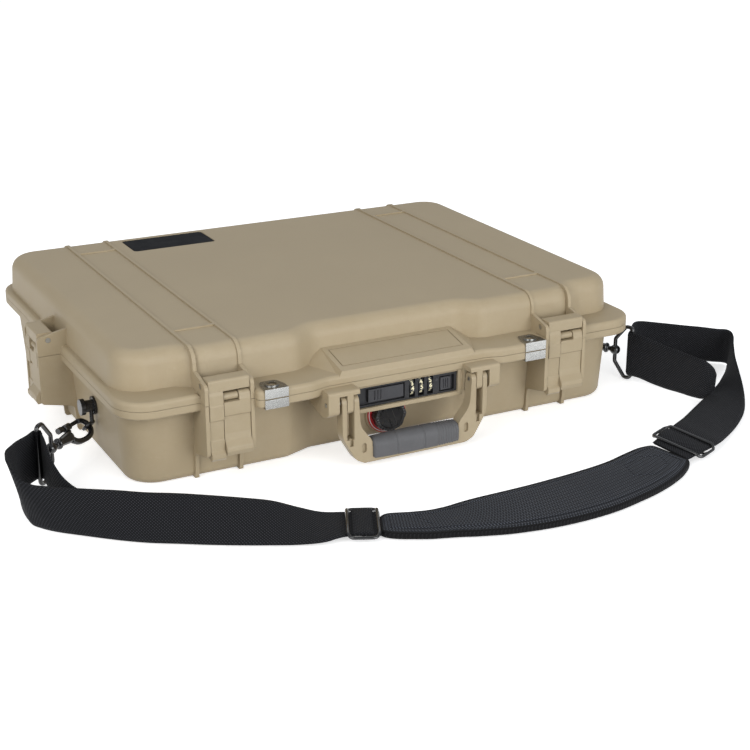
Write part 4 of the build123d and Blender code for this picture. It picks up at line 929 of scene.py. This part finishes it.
RIGHT_EDGES = (
    [(196.5, -322.3, 9.5, 205.0, -363.3, 6.5), (232.0, -308.2, 15.5, 248.5, -350.5, 8.0),
     (250.9, -296.6, 14.0, 268.1, -338.5, 6.0), (280.2, -276.2, 12.0, 299.1, -317.2, 4.5),
     (307.1, -256.4, 9.0, 321.3, -300.2, 7.3), (334.1, -235.8, 5.0, 338.2, -281.3, 10.9),
     (356.4, -218.1, 2.2, 351.8, -261.5, 16.9), (371.1, -206.5, 1.5, 360.7, -243.8, 25.9),
     (386.2, -194.5, 1.5, 371.6, -223.7, 33.5), (399.0, -182.0, 1.5, 384.0, -205.5, 39.0),
     (406.7, -172.9, 1.5, 396.0, -189.0, 43.0), (405.5, -166.5, 1.5, 396.0, -180.5, 44.0),
     (399.1, -161.2, 1.5, 388.5, -174.3, 44.0), (388.4, -151.2, 1.5, 378.0, -164.1, 44.5),
     (371.6, -138.9, 1.5, 362.5, -150.7, 45.0), (347.3, -125.1, 2.0, 340.9, -134.2, 46.5),
     (326.0, -124.5, 4.0, 322.0, -129.5, 49.5), (308.0, -137.5, 6.0, 306.5, -139.0, 52.0),
     (297.0, -150.5, 6.0, 297.0, -150.5, 52.0)]
    + round_ring_bar(*SIDES["right"], 125.0, 222.0, 5)
    + [(291.5, -172.0, 6.0, 291.5, -172.0, 52.0), (297.5, -186.0, 3.5, 297.5, -184.0, 49.4),
       (304.5, -201.5, 1.5, 302.6, -203.2, 47.4), (310.0, -217.8, 1.5, 306.4, -223.8, 47.0),
       (314.5, -233.0, 1.5, 308.8, -241.0, 46.7), (320.5, -243.0, 2.0, 313.5, -252.0, 45.3),
       (328.5, -246.5, 6.0, 322.5, -256.0, 40.0)]
)

def placed(points, frame_axes):
    """Local millimetres to metres in the row frame: origin plus each axis times its coordinate."""
    origin, x, y, z = frame_axes
    return (origin + points[..., :1] * x + points[..., 1:2] * y + points[..., 2:3] * z) * MM


def tube_along(line, radius, frame_axes, closed=False, sides=14):
    """Grid of a round wire along a line given in millimetres in a local frame: each row is a circle of the given
    radius square to the line, and the circles keep their turn from one row to the next."""
    line = np.asarray(line, float)
    if closed:
        tangent = ring_tangents(line)
    else:
        tangent = np.gradient(line, axis=0)
        tangent /= np.linalg.norm(tangent, axis=1)[:, None]
    normal = np.cross(tangent[0], (0.0, 0.0, 1.0) if abs(tangent[0][2]) < 0.9 else (1.0, 0.0, 0.0))
    turn = full_turn(sides)
    rows = []
    for point, along, r in zip(line, tangent, np.broadcast_to(radius, len(line))):
        normal = normal - along * (normal @ along)
        normal /= np.linalg.norm(normal)
        rows.append(point + r * (np.cos(turn)[:, None] * normal + np.sin(turn)[:, None] * np.cross(along, normal)))
    if closed:
        rows.append(rows[0])
    return sheet_patch(placed(np.array(rows), frame_axes), wrap=True, caps=not closed)


def turned(profile, axes, off_axis=0.0, caps=False):
    """Grid of a turned shape: rows of distance along the hook and radius, swept round an axis beside the hook's."""
    turn = full_turn(28)
    along, radius = profile[:, :1], profile[:, 1:2]
    return sheet_patch(placed(grid(along, off_axis + radius * np.cos(turn), radius * np.sin(turn)), axes), wrap=True,
                       caps=caps)


def rounded_loop(half_u, half_w, corner, step_count=7):
    """Closed rounded rectangle in the plane, as points (u, w)."""
    rows = []
    for k, (su, sw) in enumerate(((1, 1), (-1, 1), (-1, -1), (1, -1))):
        a = np.linspace(k * math.pi / 2, (k + 1) * math.pi / 2, step_count)
        rows.append(np.column_stack([su * (half_u - corner) + corner * np.cos(a),
                                     sw * (half_w - corner) + corner * np.sin(a)]))
    return np.vstack(rows)


def buckle_axes(first, second):
    """Origin and axes of a buckle threaded between two stations: along, across and out of the webbing."""
    a, b = np.array(first, float), np.array(second, float)
    start, end = (a[:3] + a[3:]) / 2, (b[:3] + b[3:]) / 2
    along = (end - start) / np.linalg.norm(end - start)
    across = (a[3:] - a[:3]) + (b[3:] - b[:3])
    across = across - along * (across @ along)
    across /= np.linalg.norm(across)
    out = np.cross(along, across)
    if out[2] < 0:
        across, out = -across, -out
    return (start + end) / 2, along, across, out


BUCKLES = {"left": LEFT_EDGES[-2:], "right": RIGHT_EDGES[:2]}


def webbing_fold(side, material):
    """The doubled webbing that rises between the two bars of a buckle: a crowned strip, half an ellipse along."""
    reach, half_width, foot, crown = 9.0, 22.6, 0.4, 2.0
    u = np.cos(np.linspace(math.pi, 0, 21)) * reach
    w = np.linspace(-half_width, half_width, 15)
    rise = 1.0 + crown * np.sqrt(np.clip(1 - (u / reach) ** 2, 0, 1))
    over = grid(u[:, None], w[None, :], rise[:, None])
    under = grid(u[:, None], w[None, ::-1], np.full(21, foot)[:, None])
    points = placed(np.concatenate([over, under], axis=1), buckle_axes(*BUCKLES[side]))
    uv = grid((u * MM)[:, None], (np.concatenate([w, w[::-1], w[:1]]) * MM)[None, :])
    fold = closed_piece("webbing_fold_" + side, points, material, uv)
    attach(fold, "base")
    return fold


def rounded_tail(along, total):
    """The last part of the webbing narrows along a quarter of an ellipse on each edge."""
    t = np.clip(1 - (total - along) / 0.014, 0, 1)
    inset = 0.26 * (1 - np.sqrt(1 - t ** 2 * 0.999))
    return inset, 1 - inset


class HARDCASE_OT_webbing(bpy.types.Operator):
    """Lays the woven webbing along its path, round the ring bars and back as a tail, on both sides."""
    bl_idname = "hardcase.webbing"
    bl_label = "Webbing"

    def execute(self, context):
        sizes = context.scene.hardcase_strap
        # lift sets the painted highlight on the webbing's yarn crowns
        cloth = shared("strap_webbing", woven_cloth, context.scene.hardcase_colours.webbing, 0.0014, 0.5, 1.0, lift=4.5)
        for side, stations, narrowing in (("left", LEFT_EDGES, None), ("right", RIGHT_EDGES, rounded_tail)):
            band, total = woven_band("woven_webbing_" + side, stations, sizes, cloth, narrowing)
            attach(band, "base")
            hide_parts("webbing_" + side)
            fold = webbing_fold(side, cloth)
        return {"FINISHED"}


class HARDCASE_OT_pad(bpy.types.Operator):
    """Builds the shoulder pad: a crowned cloth body with a stitched groove, a seam and a sewn patch, and a binding
    round its edge."""
    bl_idname = "hardcase.pad"
    bl_label = "Shoulder pad"

    def execute(self, context):
        tones = context.scene.hardcase_colours
        sizes = context.scene.hardcase_strap
        # lift sets the painted highlight on the pad's yarn crowns
        cloth = shared("pad_cloth", woven_cloth, tones.pad, 0.0025, 1.0, 1.0, lift=6.5)
        middle, reach, _ = strip_axes(PAD_EDGES, sizes.step / 2)
        t = np.sin(np.linspace(-1, 1, 61) * math.pi / 2)
        top = middle[:, None, :] + reach[:, None, :] * t[None, :, None]
        outline = np.concatenate([top[:, 0], top[-1, 1:-1], top[::-1, -1], top[0, 1:-1][::-1]])
        outline = outline[np.concatenate([[True], np.linalg.norm(np.diff(outline, axis=0), axis=1) > 1e-5])]
        rim = distance_to_line(top[..., :2], outline[:, :2], closed=True)
        # thickness from the distance to the outline: full from 20 mm in, less at the edge, pinched along the stitches
        inward = np.clip(rim / 0.020, 0, 1)
        body = sizes.pad_thickness / 2 * (0.62 + 0.38 * np.sqrt(np.clip(1 - (1 - inward) ** 2, 0, 1)))
        body *= 1 - 0.26 * bell(rim - sizes.pad_groove, 0.0009)
        for line, closed in ((LEFT_SEAM, False), (RIGHT_PATCH, True)):
            body *= 1 - 0.22 * bell(distance_to_line(top[..., :2], np.array(line) * MM, closed), 0.0008)
        body *= np.sqrt(np.clip(rim / 0.0012, 0.0, 1))
        lift = np.concatenate([body, -body[:, ::-1][:, 1:-1]], axis=1)
        plan = np.concatenate([top, top[:, ::-1][:, 1:-1]], axis=1)
        v = np.concatenate([t, t[::-1][1:-1], t[:1]])
        width = 2 * np.linalg.norm(reach, axis=1)
        uv = grid(run_lengths(middle)[:, None], v[None, :] * width.max() / 2)
        pad = closed_piece("padded_rest", plan + lift[:, :, None] * UP, cloth, uv)
        # lift sets the painted highlight on the binding's yarn crowns
        trim = shared("pad_trim", woven_cloth, tones.trim, 0.0016, 0.5, 0.6, lift=2.0)
        binding = edge_tape("pad_binding", resampled_loop(outline, LOOP_STEP), 0.0046, 0.0058, trim)
        for piece, finish in ((pad, "pad_fabric"), (binding, "strap_webbing")):
            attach(piece, "base")
            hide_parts("shoulder_pad")
        return {"FINISHED"}


# ---------------------------------------------------------------- hooks and buckles, in millimetres
FRAME_WIRE = 1.45
BAR_WIRE = 1.3


def buckle_wire(side, material):
    """Three-bar buckle bent from round wire: a rounded frame over the webbing and a bar under it."""
    axes = buckle_axes(*BUCKLES[side])
    loop = rounded_loop(12.6, 26.4, corner=5.5)
    # the frame stands 2.6 over the webbing and dips beside its edges; the bar lies 2.3 under it and comes up there
    dip = np.clip((np.abs(loop[:, 1]) - 21.0) / 5.0, 0, 1)
    line = np.column_stack([loop, 2.6 - 2.2 * dip * dip * (3 - 2 * dip)])
    w = np.linspace(-25.8, 25.8, 15)
    bar = np.column_stack([np.zeros(15), w, -2.3 + 2.3 * np.clip((np.abs(w) - 22.5) / 3.3, 0, 1)])
    wires = [tube_along(line, FRAME_WIRE, axes, closed=True), tube_along(bar, BAR_WIRE, axes)]
    return piece_from("buckle_" + side, wires, material)


def hook_axes(side):
    """Origin and axes of a snap hook: along the hook, across its flat and out of it."""
    sign, heading = SIDES[side]
    a, lean = math.radians(heading), math.radians(45.0)
    out = np.array([-math.sin(a) * math.sin(lean), math.cos(a) * math.sin(lean), -sign * math.cos(lean)])
    along = np.array([math.cos(a), math.sin(a), 0.0])
    return np.array([sign * HOOK_ROOT[0], *HOOK_ROOT[1:]]), along, np.cross(out, along), out


# distance along the hook and radius there: socket, tapering shank, collar, neck and ball
SHANK = ((26.5, 0.3), (26.9, 2.8), (28.6, 4.6), (31.0, 5.3), (35.0, 5.1), (39.5, 4.5), (44.0, 4.0), (45.4, 4.3),
         (46.2, 5.1), (47.6, 5.1), (48.6, 4.2), (49.4, 2.7), (51.2, 2.5), (52.6, 3.2), (54.2, 4.4), (57.0, 5.1),
         (59.8, 4.4), (61.4, 2.9), (62.1, 0.3))
# middle line of the eye, along and across the hook, from the shank round to the gate
EYE = ((29.5, 3.4), (25.0, 7.4), (18.5, 8.9), (11.0, 9.0), (4.5, 7.2), (0.8, 3.6), (0.0, 0.0), (0.8, -3.8),
       (3.8, -7.2), (8.8, -8.5))
# share of the eye's length and radius of its wire there
EYE_WIRE = ((0, 3.3), (0.3, 2.6), (0.75, 2.5), (1, 2.3))
# section of the sleeve round the gate rod, distance along the hook and radius from the rod's axis
SLEEVE = ((20.6, 2.3), (20.6, 2.9), (21.2, 3.4), (28.6, 3.4), (29.4, 2.9), (29.4, 2.3), (20.6, 2.3))
GATE_AXIS = -8.5
WEB = ((24.6, -4.6, 0.0), (33.0, -1.5, 0.0))


def flat_line(pairs):
    """Points of the hook's flat with nothing out of it."""
    return np.array([(u, v, 0.0) for u, v in pairs])


def hook_body(side, material):
    """Cast snap hook: a round eye that thickens towards the shank, a turned shank with collar and ball, and a
    sleeve round the gate rod with a web up to the shank."""
    axes = hook_axes(side)
    eye = curve_through(flat_line(EYE), 1.2)
    share, wire = np.array(EYE_WIRE).T
    fat = np.interp(np.arange(len(eye)), len(eye) * share, wire)
    patches = [tube_along(eye, fat, axes), turned(curve_through(flat_line(SHANK), 0.7), axes, caps=True),
               turned(np.array(SLEEVE), axes, GATE_AXIS), tube_along(np.linspace(*WEB, 8), 1.8, axes)]
    return face_outwards(piece_from("cast_hook_" + side, patches, material))


class HARDCASE_OT_hardware(bpy.types.Operator):
    """Builds the cast snap hooks and the wire buckles, and gives gates, rings and strap posts their black finish."""
    bl_idname = "hardcase.hardware"
    bl_label = "Hooks and buckles"

    def execute(self, context):
        black = context.scene.hardcase_colours.hook
        gloss = shared("hook_gloss", gloss_black, black)
        finish_nodes(gloss, "hook_gate", "strap_ring")
        finish_nodes(shared("stud_black", satin_black, black, rough=0.2, grain=0.03, shine=0.5), "strap_studs")
        for side in SIDES:
            for piece, node_name in ((hook_body(side, gloss), "snap_hook_"), (buckle_wire(side, gloss), "slider_")):
                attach(piece, "base")
                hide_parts(node_name + side)
        return {"FINISHED"}


# ---------------------------------------------------------------- panel and registration
STEPS = (HARDCASE_OT_camera, HARDCASE_OT_stage, HARDCASE_OT_shells, HARDCASE_OT_inside, HARDCASE_OT_steelwork,
         HARDCASE_OT_badge, HARDCASE_OT_lock, HARDCASE_OT_valve, HARDCASE_OT_grip, HARDCASE_OT_webbing,
         HARDCASE_OT_pad, HARDCASE_OT_hardware)


class HARDCASE_PT_panel(bpy.types.Panel):
    """Lists the settings and the steps that dress the case."""
    bl_idname = "HARDCASE_PT_panel"
    bl_label = "Hard Case"
    bl_space_type = "VIEW_3D"
    bl_region_type = "UI"
    bl_category = "Hard Case"

    def draw(self, context):
        for group in (context.scene.hardcase_colours, context.scene.hardcase_strap, context.scene.hardcase_details):
            box = self.layout.box()
            for key in group.__annotations__:
                box.prop(group, key)
        for step in STEPS:
            self.layout.operator(step.bl_idname)


CLASSES = (CaseColours, StrapSizes, DetailSizes) + STEPS + (HARDCASE_PT_panel,)


def register():
    for item in CLASSES:
        bpy.utils.register_class(item)
    bpy.types.Scene.hardcase_colours = PointerProperty(type=CaseColours)
    bpy.types.Scene.hardcase_strap = PointerProperty(type=StrapSizes)
    bpy.types.Scene.hardcase_details = PointerProperty(type=DetailSizes)


def unregister():
    del bpy.types.Scene.hardcase_details
    del bpy.types.Scene.hardcase_strap
    del bpy.types.Scene.hardcase_colours
    for item in reversed(CLASSES):
        bpy.utils.unregister_class(item)


def main():
    register()
    for step in STEPS:
        family, name = step.bl_idname.split(".")
        getattr(getattr(bpy.ops, family), name)()


if __name__ == "__main__":
    main()
